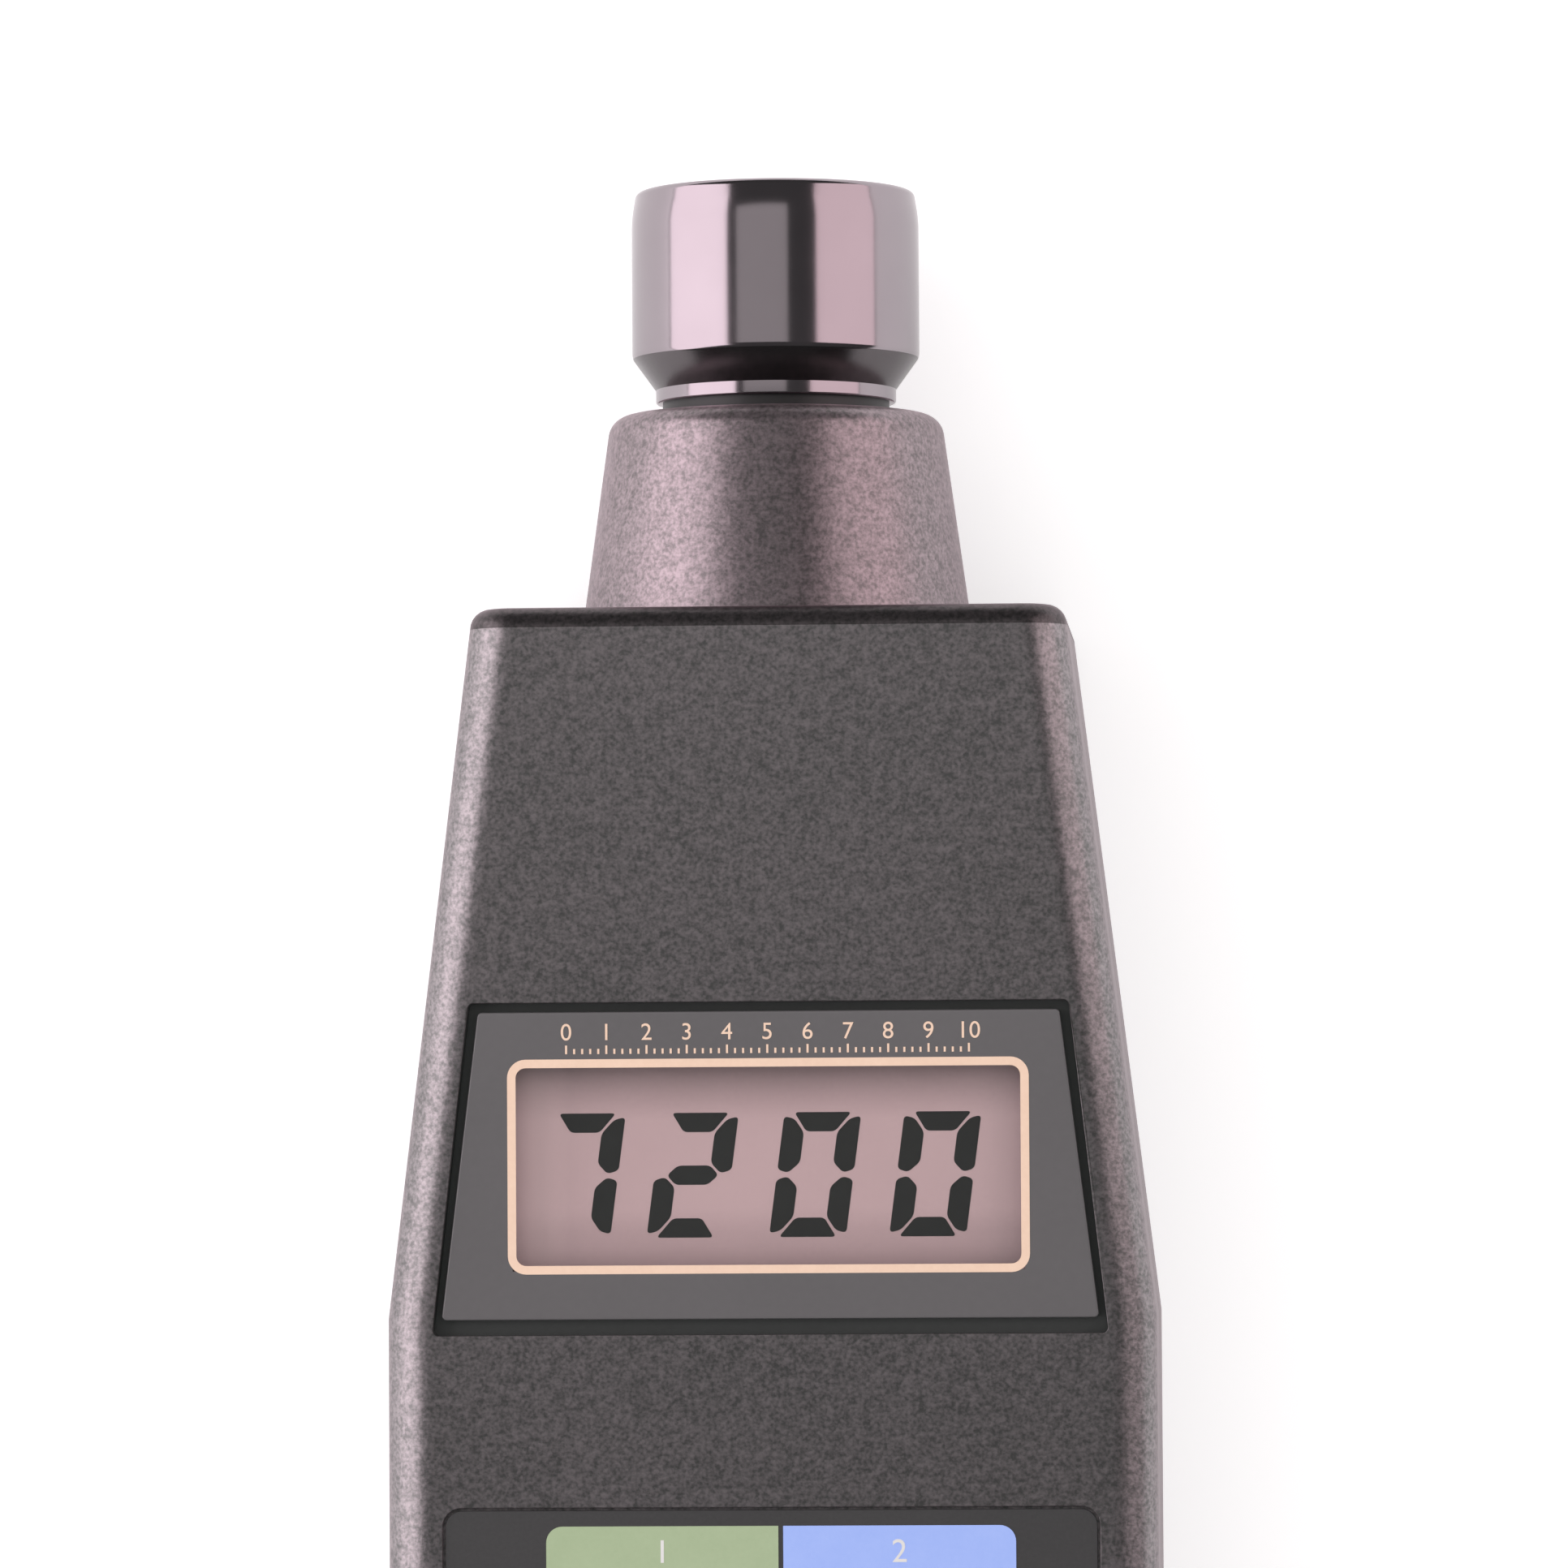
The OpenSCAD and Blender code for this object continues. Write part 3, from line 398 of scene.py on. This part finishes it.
def openEdges(bm):
    return edgesWhere(bm, lambda e: e.is_boundary)


def vertsOf(grown):  # new corners in an extrusion's result
    return [v for v in grown["geom"] if isinstance(v, bmesh.types.BMVert)]


def wholeOf(bm):
    return bm.verts[:] + bm.edges[:] + bm.faces[:]


def soften(bm, edges, size, segments=2):
    if edges:
        bmesh.ops.bevel(bm, geom=edges, offset=size * mm, offset_type="OFFSET", affect="EDGES",
            segments=segments, profile=0.5, material=-1, clamp_overlap=True)


copyLook = {"weld": 0.002, "flat": 0.4, "sharp": 50}  # millimetres, and angles in degrees


def softCopy(node, name, finish, soft, isRim, others=()):  # a node's shape with its rims broken
    bm = bmesh.new()
    bm.from_mesh(nodes[node].data)
    bmesh.ops.remove_doubles(bm, verts=bm.verts[:], dist=copyLook["weld"] * mm)
    halved = bmesh.ops.bisect_plane(bm, geom=wholeOf(bm), plane_co=(0, 0, 0), plane_no=(1, 0, 0))
    for part in halved["geom_cut"]:  # no face then closes round an opening
        if isinstance(part, bmesh.types.BMEdge):
            part.seam = True
    bmesh.ops.dissolve_limit(bm, angle_limit=radians(copyLook["flat"]), verts=bm.verts[:],
        edges=bm.edges[:], delimit={"SEAM"})

    def sharp(e):
        middle = (e.verts[0].co + e.verts[1].co) / 2
        return len(e.link_faces) == 2 and e.calc_face_angle() > radians(copyLook["sharp"]) and isRim(middle)

    soften(bm, edgesWhere(bm, sharp), soft)
    return finishPiece(name, bm, finish, nodes[node]["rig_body"], (node,), others=others)


turnLook = {"steps": 144, "weld": 0.001, "near": 0.01}


def turned(profile, centre, rounds=()):  # (radius, station) points spun about the nose axis
    bm = bmesh.new()
    verts = [bm.verts.new((centre.x + r * mm, y, centre.z)) for r, y in profile]
    edges = [bm.edges.new((verts[i], verts[(i + 1) % len(verts)])) for i in range(len(verts))]
    bmesh.ops.spin(bm, geom=verts + edges, cent=centre, axis=(0, 1, 0), dvec=(0, 0, 0), angle=2 * pi,
        steps=turnLook["steps"], use_merge=True)
    bmesh.ops.remove_doubles(bm, verts=bm.verts[:], dist=turnLook["weld"] * mm)
    near = turnLook["near"] * mm

    def onRing(v, r, y):
        out = sqrt((v.co.x - centre.x) ** 2 + (v.co.z - centre.z) ** 2)
        return abs(v.co.y - y) < near and abs(out - r * mm) < near

    for r, y, size, segments in rounds:
        soften(bm, edgesWhere(bm, lambda e: all(onRing(v, r, y) for v in e.verts)), size, segments)
    bmesh.ops.recalc_face_normals(bm, faces=bm.faces[:])
    return bm


def roundedSheet(width, height, r, isCorner=lambda v: True, segments=8):  # one flat face about the origin
    bm = bmesh.new()
    bmesh.ops.create_grid(bm, x_segments=1, y_segments=1, size=0.5)
    bmesh.ops.scale(bm, vec=(width * mm, height * mm, 1), verts=bm.verts[:])
    bmesh.ops.bevel(bm, geom=[v for v in bm.verts if isCorner(v)], offset=r * mm, offset_type="OFFSET",
        affect="VERTICES", segments=segments, profile=0.5, material=-1)
    return bm


def thicken(bm, height):
    grown = bmesh.ops.extrude_face_region(bm, geom=bm.faces[:], use_keep_orig=True)
    bmesh.ops.translate(bm, vec=(0, 0, height * mm), verts=vertsOf(grown))
    bmesh.ops.recalc_face_normals(bm, faces=bm.faces[:])


# covers, door, buttons: the solids' own shapes with their rims broken

rimLook = {"cover": 0.08, "door": 0.14, "panel": 0.08, "button": 0.25, "knob": 0.10, "window": 0.2}
pocketShadeLook = {"round": 1, "foot": 2, "floor": 0.99, "wall": 0.2}  # reach past the window, limits of normals
# reach from the nose end and least slope of the faces that take the painted shade
endShadeLook = {"deep": 2.2, "slope": 0.12}
hair = 0.05 * mm  # slack where faces and edges are told by their place
frontTop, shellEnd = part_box("front_cover")[1].z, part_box("front_cover")[1].y
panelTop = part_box("control_panel")[1].z
windowTop = windowHigh.z


def inPocket(p, normal):  # floor and walls of the gap round the window plate, which take a dark finish as painted shade in the gap
    look = pocketShadeLook
    deep = windowLow.z - hair < p.z < frontTop - 2 * hair
    across = abs(p.x) < windowHigh.x + look["round"] * mm
    along = windowLow.y - look["foot"] * mm < p.y < windowHigh.y + look["round"] * mm
    return deep and across and along and (normal.z > look["floor"] or abs(normal.z) < look["wall"])


def atNoseEnd(p, normal):  # end wall round the nose and the rounding into it, where a darker copy of the shell black is painted shade
    return p.y > shellEnd - endShadeLook["deep"] * mm and normal.y > endShadeLook["slope"]


def atBack(p):
    return p.z < hair


softCopy("front_cover", "frontShell", black, rimLook["cover"],
    lambda p: p.z > frontTop - hair, ((gapPaintedShade, inPocket), (endPaintedShade, atNoseEnd)))
softCopy("rear_cover", "rearShell", black, rimLook["cover"], atBack, ((endPaintedShade, atNoseEnd),))
softCopy("battery_door", "batteryCover", black, rimLook["door"], atBack)
softCopy("control_panel", "controlPlate", panelBlack, rimLook["panel"],
    lambda p: p.z > panelTop - hair)
softCopy("side_button", "sideButton", buttonGrey, rimLook["button"],
    lambda p: p.x > windowHigh.x)
softCopy("switch_knob", "rangeKnob", satinBlackAndGrooveShade, rimLook["knob"], lambda p: p.z > frontTop)
softCopy("display_window", "displayWindow", windowPlate(viewMiddle), rimLook["window"],
    lambda p: p.z > windowTop - hair)
print("covers dressed")


# nose: turned pieces

coneLook = {
    "topD": 29.4, "baseD": 34.4, "length": 18.0, "neckD": 26.0, "flangeD": 30.0, "flange": 1.5,
    "edge": 1.7, "stubD": 20.2, "stub": 1.1, "play": 0.1}
ringLook = {"d": 21.4, "edge": 0.2}
keeperLook = {"wall": 1.15, "inEdge": 0.35, "outEdge": 0.15, "play": 0.1}
collarLook = {
    "d": 25.6, "chamfer": 2.9, "chamferSlope": -0.4, "crown": 2.4, "crownIn": 0.4, "crownEdge": 0.9,
    "edge": 0.5, "foot": 0.3, "mouth": 0.2, "spigotD": 18.0, "boreD": 16.0}
coneLow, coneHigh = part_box("nose_cone")
ringLow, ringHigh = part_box("lock_ring")
collarLow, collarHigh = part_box("lens_collar")
lensLow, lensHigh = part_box("front_lens")
keepLow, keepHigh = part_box("lens_retainer")
noseAxis = Vector((0, 0, (collarLow.z + collarHigh.z) / 2))

coneDiameters = ("topD", "baseD", "neckD", "flangeD", "stubD")
topR, baseR, neckR, flangeR, stubR = (coneLook[key] / 2 for key in coneDiameters)
spigotR = collarLook["spigotD"] / 2
boreR = spigotR + coneLook["play"]
flangeTop = coneLow.y + coneLook["flange"] * mm
coneTop = coneHigh.y - coneLook["stub"] * mm
shoulder = coneTop - coneLook["length"] * mm
cone = turned([
    (boreR, coneLow.y), (flangeR, coneLow.y), (flangeR, flangeTop), (neckR, flangeTop), (neckR, shoulder),
    (baseR, shoulder), (topR, coneTop), (stubR, coneTop), (stubR, coneHigh.y), (boreR, coneHigh.y)],
    noseAxis, [(topR, coneTop, coneLook["edge"], 10)])
# the stub under the lock ring takes the satin black as painted shade of the groove under the ring
finishPiece("noseCone", cone, coneBlackWithPaintedLight, "housing", ("nose_cone",),
    others=((satinBlackAndGrooveShade, lambda p, normal: p.y > coneTop + hair),))

ringR = ringLook["d"] / 2
ring = turned([(boreR, ringLow.y), (ringR, ringLow.y), (ringR, ringHigh.y), (boreR, ringHigh.y)],
    noseAxis, [(ringR, ringLow.y, ringLook["edge"], 3)])
finishPiece("lockRing", ring, chrome, "housing", ("lock_ring",))

keeperOut = (keepHigh.x - keepLow.x) / 2 / mm
keeperIn = keeperOut - keeperLook["wall"]
lensBoreR = keeperOut + keeperLook["play"]
collarR, collarBoreR = collarLook["d"] / 2, collarLook["boreD"] / 2
chamferTop = ringHigh.y + collarLook["chamfer"] * mm
crownFoot = collarHigh.y - collarLook["crown"] * mm
rimR = collarR - collarLook["crownIn"]
collar = turned([
    (collarBoreR, collarLow.y), (spigotR, collarLow.y), (spigotR, ringHigh.y), (ringR, ringHigh.y),
    (collarR, chamferTop), (collarR, crownFoot), (rimR, collarHigh.y), (lensBoreR, collarHigh.y),
    (lensBoreR, lensLow.y), (collarBoreR, lensLow.y)],
    noseAxis, [
        (rimR, collarHigh.y, collarLook["edge"], 8), (collarR, crownFoot, collarLook["crownEdge"], 8),
        (collarR, chamferTop, collarLook["foot"], 3), (lensBoreR, collarHigh.y, collarLook["mouth"], 2)])


# faces of the collar's chamfer, which take painted shade
def onChamfer(p, normal):
    return ringHigh.y < p.y < chamferTop and normal.y < collarLook["chamferSlope"]


finishPiece("lensCollar", collar, chrome, "housing", ("lens_collar",),
    others=((chamferShadeChrome, onChamfer),))

keeper = turned([
    (keeperIn, keepLow.y), (keeperOut, keepLow.y), (keeperOut, keepHigh.y), (keeperIn, keepHigh.y)],
    noseAxis, [
        (keeperIn, keepHigh.y, keeperLook["inEdge"], 3), (keeperOut, keepHigh.y, keeperLook["outEdge"], 2)])
finishPiece("lensKeeper", keeper, satinBlackAndGrooveShade, "housing", ("lens_retainer",))

lensLook = {"curve": 24.0, "rim": 2.2, "around": 96, "rings": 128}
dome = bmesh.new()  # a slice of a ball over a short rim
bmesh.ops.create_uvsphere(dome, u_segments=lensLook["around"], v_segments=lensLook["rings"],
    radius=lensLook["curve"] * mm)
lensR = (lensHigh.x - lensLow.x) / 2
sliceAt = sqrt((lensLook["curve"] * mm) ** 2 - (keeperIn * mm) ** 2)
bmesh.ops.bisect_plane(dome, geom=wholeOf(dome), plane_co=(0, 0, sliceAt), plane_no=(0, 0, 1),
    clear_inner=True)
grown = bmesh.ops.extrude_edge_only(dome, edges=openEdges(dome))
widen = lensR / (keeperIn * mm)
bmesh.ops.scale(dome, vec=(widen, widen, 1), verts=vertsOf(grown))
grown = bmesh.ops.extrude_edge_only(dome, edges=openEdges(dome))
bmesh.ops.translate(dome, vec=(0, 0, -lensLook["rim"] * mm), verts=vertsOf(grown))
bmesh.ops.holes_fill(dome, edges=openEdges(dome), sides=0)
bmesh.ops.recalc_face_normals(dome, faces=dome.faces[:])
bmesh.ops.rotate(dome, cent=(0, 0, 0), matrix=Matrix.Rotation(-pi / 2, 3, "X"), verts=dome.verts[:])
domeAt = noseAxis + Vector((0, lensLow.y + lensLook["rim"] * mm - sliceAt, 0))
bmesh.ops.translate(dome, vec=domeAt, verts=dome.verts[:])
finishPiece("frontLens", dome, lens, "housing", ("front_lens",))
print("nose turned")


# prints on the window

printHeight = 0.03
printMiddle = windowTop + printHeight / 2 * mm
frameLine = {"size": (45.32, 18.64), "line": 0.74, "r": 1.6, "shift": (-0.07, 0.12)}
lineSheet = roundedSheet(*frameLine["size"], frameLine["r"])
band = bmesh.ops.inset_region(lineSheet, faces=lineSheet.faces[:], thickness=frameLine["line"] * mm,
    use_boundary=True, use_even_offset=True)["faces"]
bmesh.ops.delete(lineSheet, geom=[f for f in lineSheet.faces if f not in band], context="FACES")
thicken(lineSheet, printHeight)
shiftX, shiftY = frameLine["shift"]
lineAt = Vector((viewMiddle.x + shiftX * mm, viewMiddle.y + shiftY * mm, windowTop))
bmesh.ops.translate(lineSheet, vec=lineAt, verts=lineSheet.verts[:])
finishPiece("goldLine", lineSheet, gold, "housing", weighted=False)

figureShare = 0.7  # height of a figure to the size of its font


def flatText(words, height, at, name, finish):  # plain figures, height in millimetres
    curve = bpy.data.curves.new(name, "FONT")
    curve.body = words
    curve.size = height * mm / figureShare
    curve.align_x, curve.align_y = "CENTER", "CENTER"
    curve.extrude = printHeight / 2 * mm
    made = bpy.data.objects.new(name + "Curve", curve)
    bpy.context.scene.collection.objects.link(made)
    mesh = bpy.data.meshes.new_from_object(made.evaluated_get(bpy.context.evaluated_depsgraph_get()))
    bm = bmesh.new()
    bm.from_mesh(mesh)
    bpy.data.objects.remove(made)
    bmesh.ops.translate(bm, vec=at, verts=bm.verts[:])
    return finishPiece(name, bm, finish, "housing", weighted=False)


scaleLook = {
    "width": 35.0, "steps": 10, "parts": 5, "long": 0.75, "short": 0.45, "line": 0.18, "figure": 1.45,
    "gap": 0.35, "above": 0.45}
ticks = bmesh.new()
tickCount = scaleLook["steps"] * scaleLook["parts"]
tickFoot = lineAt.y + (frameLine["size"][1] / 2 + scaleLook["above"]) * mm
for i in range(tickCount + 1):
    tall = scaleLook["long"] if i % scaleLook["parts"] == 0 else scaleLook["short"]
    x = lineAt.x + (i / tickCount - 0.5) * scaleLook["width"] * mm
    spot = Matrix.Translation((x, tickFoot + tall / 2 * mm, printMiddle))
    size = Matrix.Diagonal((scaleLook["line"] * mm, tall * mm, printHeight * mm, 1))
    bmesh.ops.create_cube(ticks, size=1, matrix=spot @ size)
finishPiece("scaleTicks", ticks, gold, "housing", weighted=False)
for i in range(scaleLook["steps"] + 1):
    x = lineAt.x + (i / scaleLook["steps"] - 0.5) * scaleLook["width"] * mm
    y = tickFoot + (scaleLook["long"] + scaleLook["gap"] + scaleLook["figure"] / 2) * mm
    flatText(str(i), scaleLook["figure"], (x, y, printMiddle), f"scaleFigure{i}", gold)
print("window printed")


# figures of the display

digitLook = {
    "reading": "7200", "height": 10.85, "width": 6.7, "line": 1.68, "upright": 1.9, "gap": 0.15,
    "slant": 7.5, "round": 0.32, "centres": (-16.68, -6.81, 3.87, 14.33), "drop": 0.79, "lift": 0.02}
litBars = {"0": "abcdef", "2": "abdeg", "7": "abc"}
barEnds = {  # how far each end is cut back from its inner to its outer corner, in widths of the bar
    "over": (1.15, 0.79, 0.42), "beside": (0.85, 0.22, 0.10),
    "blunt": (0.48, 0.0, 0.16), "point": (0.5, 0.0, 0.5)}


def displayBar(bm, middle, length, turn, startEnd, endEnd, line):  # its local Y points out of the figure
    made = bmesh.ops.create_grid(bm, x_segments=1, y_segments=2, size=1)["verts"]
    for v in made:
        back = barEnds[startEnd if v.co.x < 0 else endEnd][round(v.co.y) + 1] * line
        v.co.x *= length / 2 - back
        v.co.y *= line / 2
    place = Matrix.Translation((middle[0], middle[1], 0)) @ Matrix.Rotation(radians(turn), 4, "Z")
    bmesh.ops.transform(bm, matrix=place, verts=made)
    bmesh.ops.dissolve_edges(bm, edges=edgesWhere(bm, lambda e: not e.is_boundary))
    bmesh.ops.bevel(bm, geom=made, offset=digitLook["round"], offset_type="OFFSET", affect="VERTICES",
        segments=3, profile=0.5, material=-1)


def displayDigit(figure):
    look = digitLook
    bm = bmesh.new()
    line, upright, gap = look["line"], look["upright"], look["gap"]
    x, y = (look["width"] - upright) / 2, (look["height"] - line) / 2
    across, along = look["width"] - 2 * gap, look["height"] / 2 - 2 * gap
    high = look["height"] / 4
    bars = {
        "a": ((0, y), across, 0, "over", "over", line),
        "b": ((x, high), along, -90, "beside", "blunt", upright),
        "c": ((x, -high), along, -90, "blunt", "beside", upright),
        "d": ((0, -y), across, 180, "over", "over", line),
        "e": ((-x, -high), along, 90, "beside", "blunt", upright),
        "f": ((-x, high), along, 90, "blunt", "beside", upright),
        "g": ((0, 0), 2 * x - 2 * gap, 0, "point", "point", line)}
    for bar in litBars[figure]:
        displayBar(bm, *bars[bar])
    lean = Matrix.Identity(4)
    lean[0][1] = tan(radians(look["slant"]))
    bmesh.ops.transform(bm, matrix=lean, verts=bm.verts[:])
    bmesh.ops.scale(bm, vec=(mm, mm, mm), verts=bm.verts[:])
    thicken(bm, look["lift"])
    return bm


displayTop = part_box("lcd_panel")[1].z
for i, figure in enumerate(digitLook["reading"]):
    digit = displayDigit(figure)
    bmesh.ops.translate(digit, verts=digit.verts[:], vec=(
        viewMiddle.x + digitLook["centres"][i] * mm, lineAt.y - digitLook["drop"] * mm, displayTop))
    finishPiece(f"displayDigit{i + 1}", digit, segmentInk, "housing", weighted=False)
print("display lit:", digitLook["reading"])


# colour fields of the control panel

fieldLook = {
    "width": 20.15, "height": 12.0, "split": 0.42, "r": 1.4, "top": 1.37, "lift": 0.05, "shift": 0.85,
    "figure": 2.0, "figureDrop": 2.3}
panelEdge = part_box("control_panel")[1].y
fieldTop = panelEdge - fieldLook["top"] * mm
for side, finish, name, figure in ((-1, green, "greenField", "1"), (1, blue, "blueField", "2")):
    fieldX = (fieldLook["shift"] + side * (fieldLook["width"] + fieldLook["split"]) / 2) * mm
    field = roundedSheet(
        fieldLook["width"], fieldLook["height"], fieldLook["r"], lambda v: v.co.x * side > 0)
    thicken(field, fieldLook["lift"])
    middle = Vector((fieldX, fieldTop - fieldLook["height"] / 2 * mm, panelTop))
    bmesh.ops.translate(field, vec=middle, verts=field.verts[:])
    finishPiece(name, field, finish, "housing", weighted=False)
    figureAt = Vector((fieldX, fieldTop - fieldLook["figureDrop"] * mm, panelTop + fieldLook["lift"] * mm))
    flatText(figure, fieldLook["figure"], figureAt, name + "Figure", white)
print("control panel printed")


# finishes of the solids that stay

insideFinishes = {
    satinBlackAndGrooveShade: ("optics_holder", "battery_snap"),
    resin: ("photodiode", "processor", "button_switch"),
    steel: ("sensor_screws", "case_screws", "board_screws", "crystal", "slide_switch"),
    brass: ("laser_module",),
    board: ("sensor_board", "main_board"),
    ivory: ("lcd_frame", "switch_slider", "button_plunger"),
    rubber: ("contact_strips",),
    sleeve: ("capacitors",),
    displayFace: ("lcd_panel",),
    batteryJacket(batteryLow, batteryHigh): ("battery",)}
for finish, names in insideFinishes.items():
    for name in names:
        nodes[name].data.materials.clear()
        nodes[name].data.materials.append(finish)
print("solids finished")


# studio

floorLook = {"size": 6.0, "dark": grey(0.78), "light": grey(0.82), "seen": 0.50, "mirrored": 0.27}


def lightPaths(f):  # what the camera sees, also through clear plates, and what is mirrored
    cameraRay = f.node("ShaderNodeLightPath", out="Is Camera Ray")
    return cameraRay + cameraRay.other("Is Transmission Ray"), cameraRay.other("Is Glossy Ray")


def paleFloor():
    f = Finish("paleFloor")
    seen, mirrored = lightPaths(f)
    return f.surface({
        "Base Color": f.mix(f.noise(300, 2), floorLook["dark"], floorLook["light"]), "Roughness": 0.9,
        "Emission Color": seen * floorLook["seen"] + mirrored * floorLook["mirrored"],
        "Emission Strength": 1.0})


floorMesh = bmesh.new()
bmesh.ops.create_grid(floorMesh, x_segments=1, y_segments=1, size=floorLook["size"] / 2)
floorData = bpy.data.meshes.new("floor")
floorMesh.to_mesh(floorData)
floorMesh.free()
floor = bpy.data.objects.new("floor", floorData)
bpy.context.scene.collection.objects.link(floor)
floorData.materials.append(paleFloor())

worldLook = {"seen": 1.0, "mirrored": 0.07, "low": 0.06, "high": 1.26}
world = bpy.data.worlds.new("studio")
bpy.context.scene.world = world
w = Finish("studio", world)
seen, mirrored = lightPaths(w)
z = w.axes("Generated")[2]
fill = worldLook["low"] + z * z * (worldLook["high"] - worldLook["low"])  # grows from the horizon to the top
strength = seen * worldLook["seen"] + mirrored * worldLook["mirrored"] + (1 - seen - mirrored) * fill
background = w.node("ShaderNodeBackground", None, {"Color": (1, 1, 1, 1), "Strength": strength})
w.node("ShaderNodeOutputWorld", None, {"Surface": background})

softBoxes = {  # place and size in millimetres, brightness as seen
    "leftBox": {
        "at": (-700, 150, 510), "aim": (0, 150, 510), "up": (0, 0, 1), "size": (1000, 960),
        "bright": 2.15, "tint": (1.0, 0.885, 0.93)},
    "rightBox": {
        "at": (700, 350, 510), "aim": (0, 350, 510), "up": (0, 0, 1), "size": (600, 960),
        "bright": 1.42, "tint": (1.0, 0.81, 0.84)},
    "noseBox": {
        "at": (-225, 335, 1500), "aim": (-225, 335, 0), "up": (0, 1, 0), "size": (1130, 410),
        "bright": 0.5, "tint": (1.0, 0.96, 0.96)}}


def aimed(at, aim, up):  # turn that looks from one point at another with a given side up
    back = (at - aim).normalized()
    right = up.cross(back).normalized()
    turn = Matrix((right, back.cross(right), back)).transposed().to_4x4()
    return Matrix.Translation(at) @ turn


for name, look in softBoxes.items():
    lamp = bpy.data.lights.new(name, "AREA")
    lamp.shape = "RECTANGLE"
    lamp.size, lamp.size_y = look["size"][0] * mm, look["size"][1] * mm
    lamp.energy = look["bright"] * pi * lamp.size * lamp.size_y
    lamp.color = look["tint"]
    holder = bpy.data.objects.new(name, lamp)
    holder.matrix_world = aimed(Vector(look["at"]) * mm, Vector(look["aim"]) * mm, Vector(look["up"]))
    bpy.context.scene.collection.objects.link(holder)

cameraLook = {  # distance and aim in millimetres, angles in degrees
    "distance": 760, "lens": 201.0, "sensor": 36, "elevation": 87.5, "lean": 3.15, "roll": 0.35,
    "aim": (1.54, 53.86, 38.0), "farthest": 20}
tilt, lean, roll = (radians(cameraLook[key]) for key in ("elevation", "lean", "roll"))
aim = Vector(cameraLook["aim"]) * mm
away = Vector((sin(lean), -cos(tilt), sin(tilt))).normalized()
upright = Vector((sin(roll), cos(roll), 0))
cameraData = bpy.data.cameras.new("photoCamera")
cameraData.lens = cameraLook["lens"]
cameraData.sensor_width = cameraLook["sensor"]
cameraData.clip_end = cameraLook["farthest"]
camera = bpy.data.objects.new("photoCamera", cameraData)
camera.matrix_world = aimed(aim + away * cameraLook["distance"] * mm, aim, upright)
bpy.context.scene.collection.objects.link(camera)
bpy.context.scene.camera = camera
bpy.context.scene.view_settings.view_transform = "Standard"
print("studio lit")
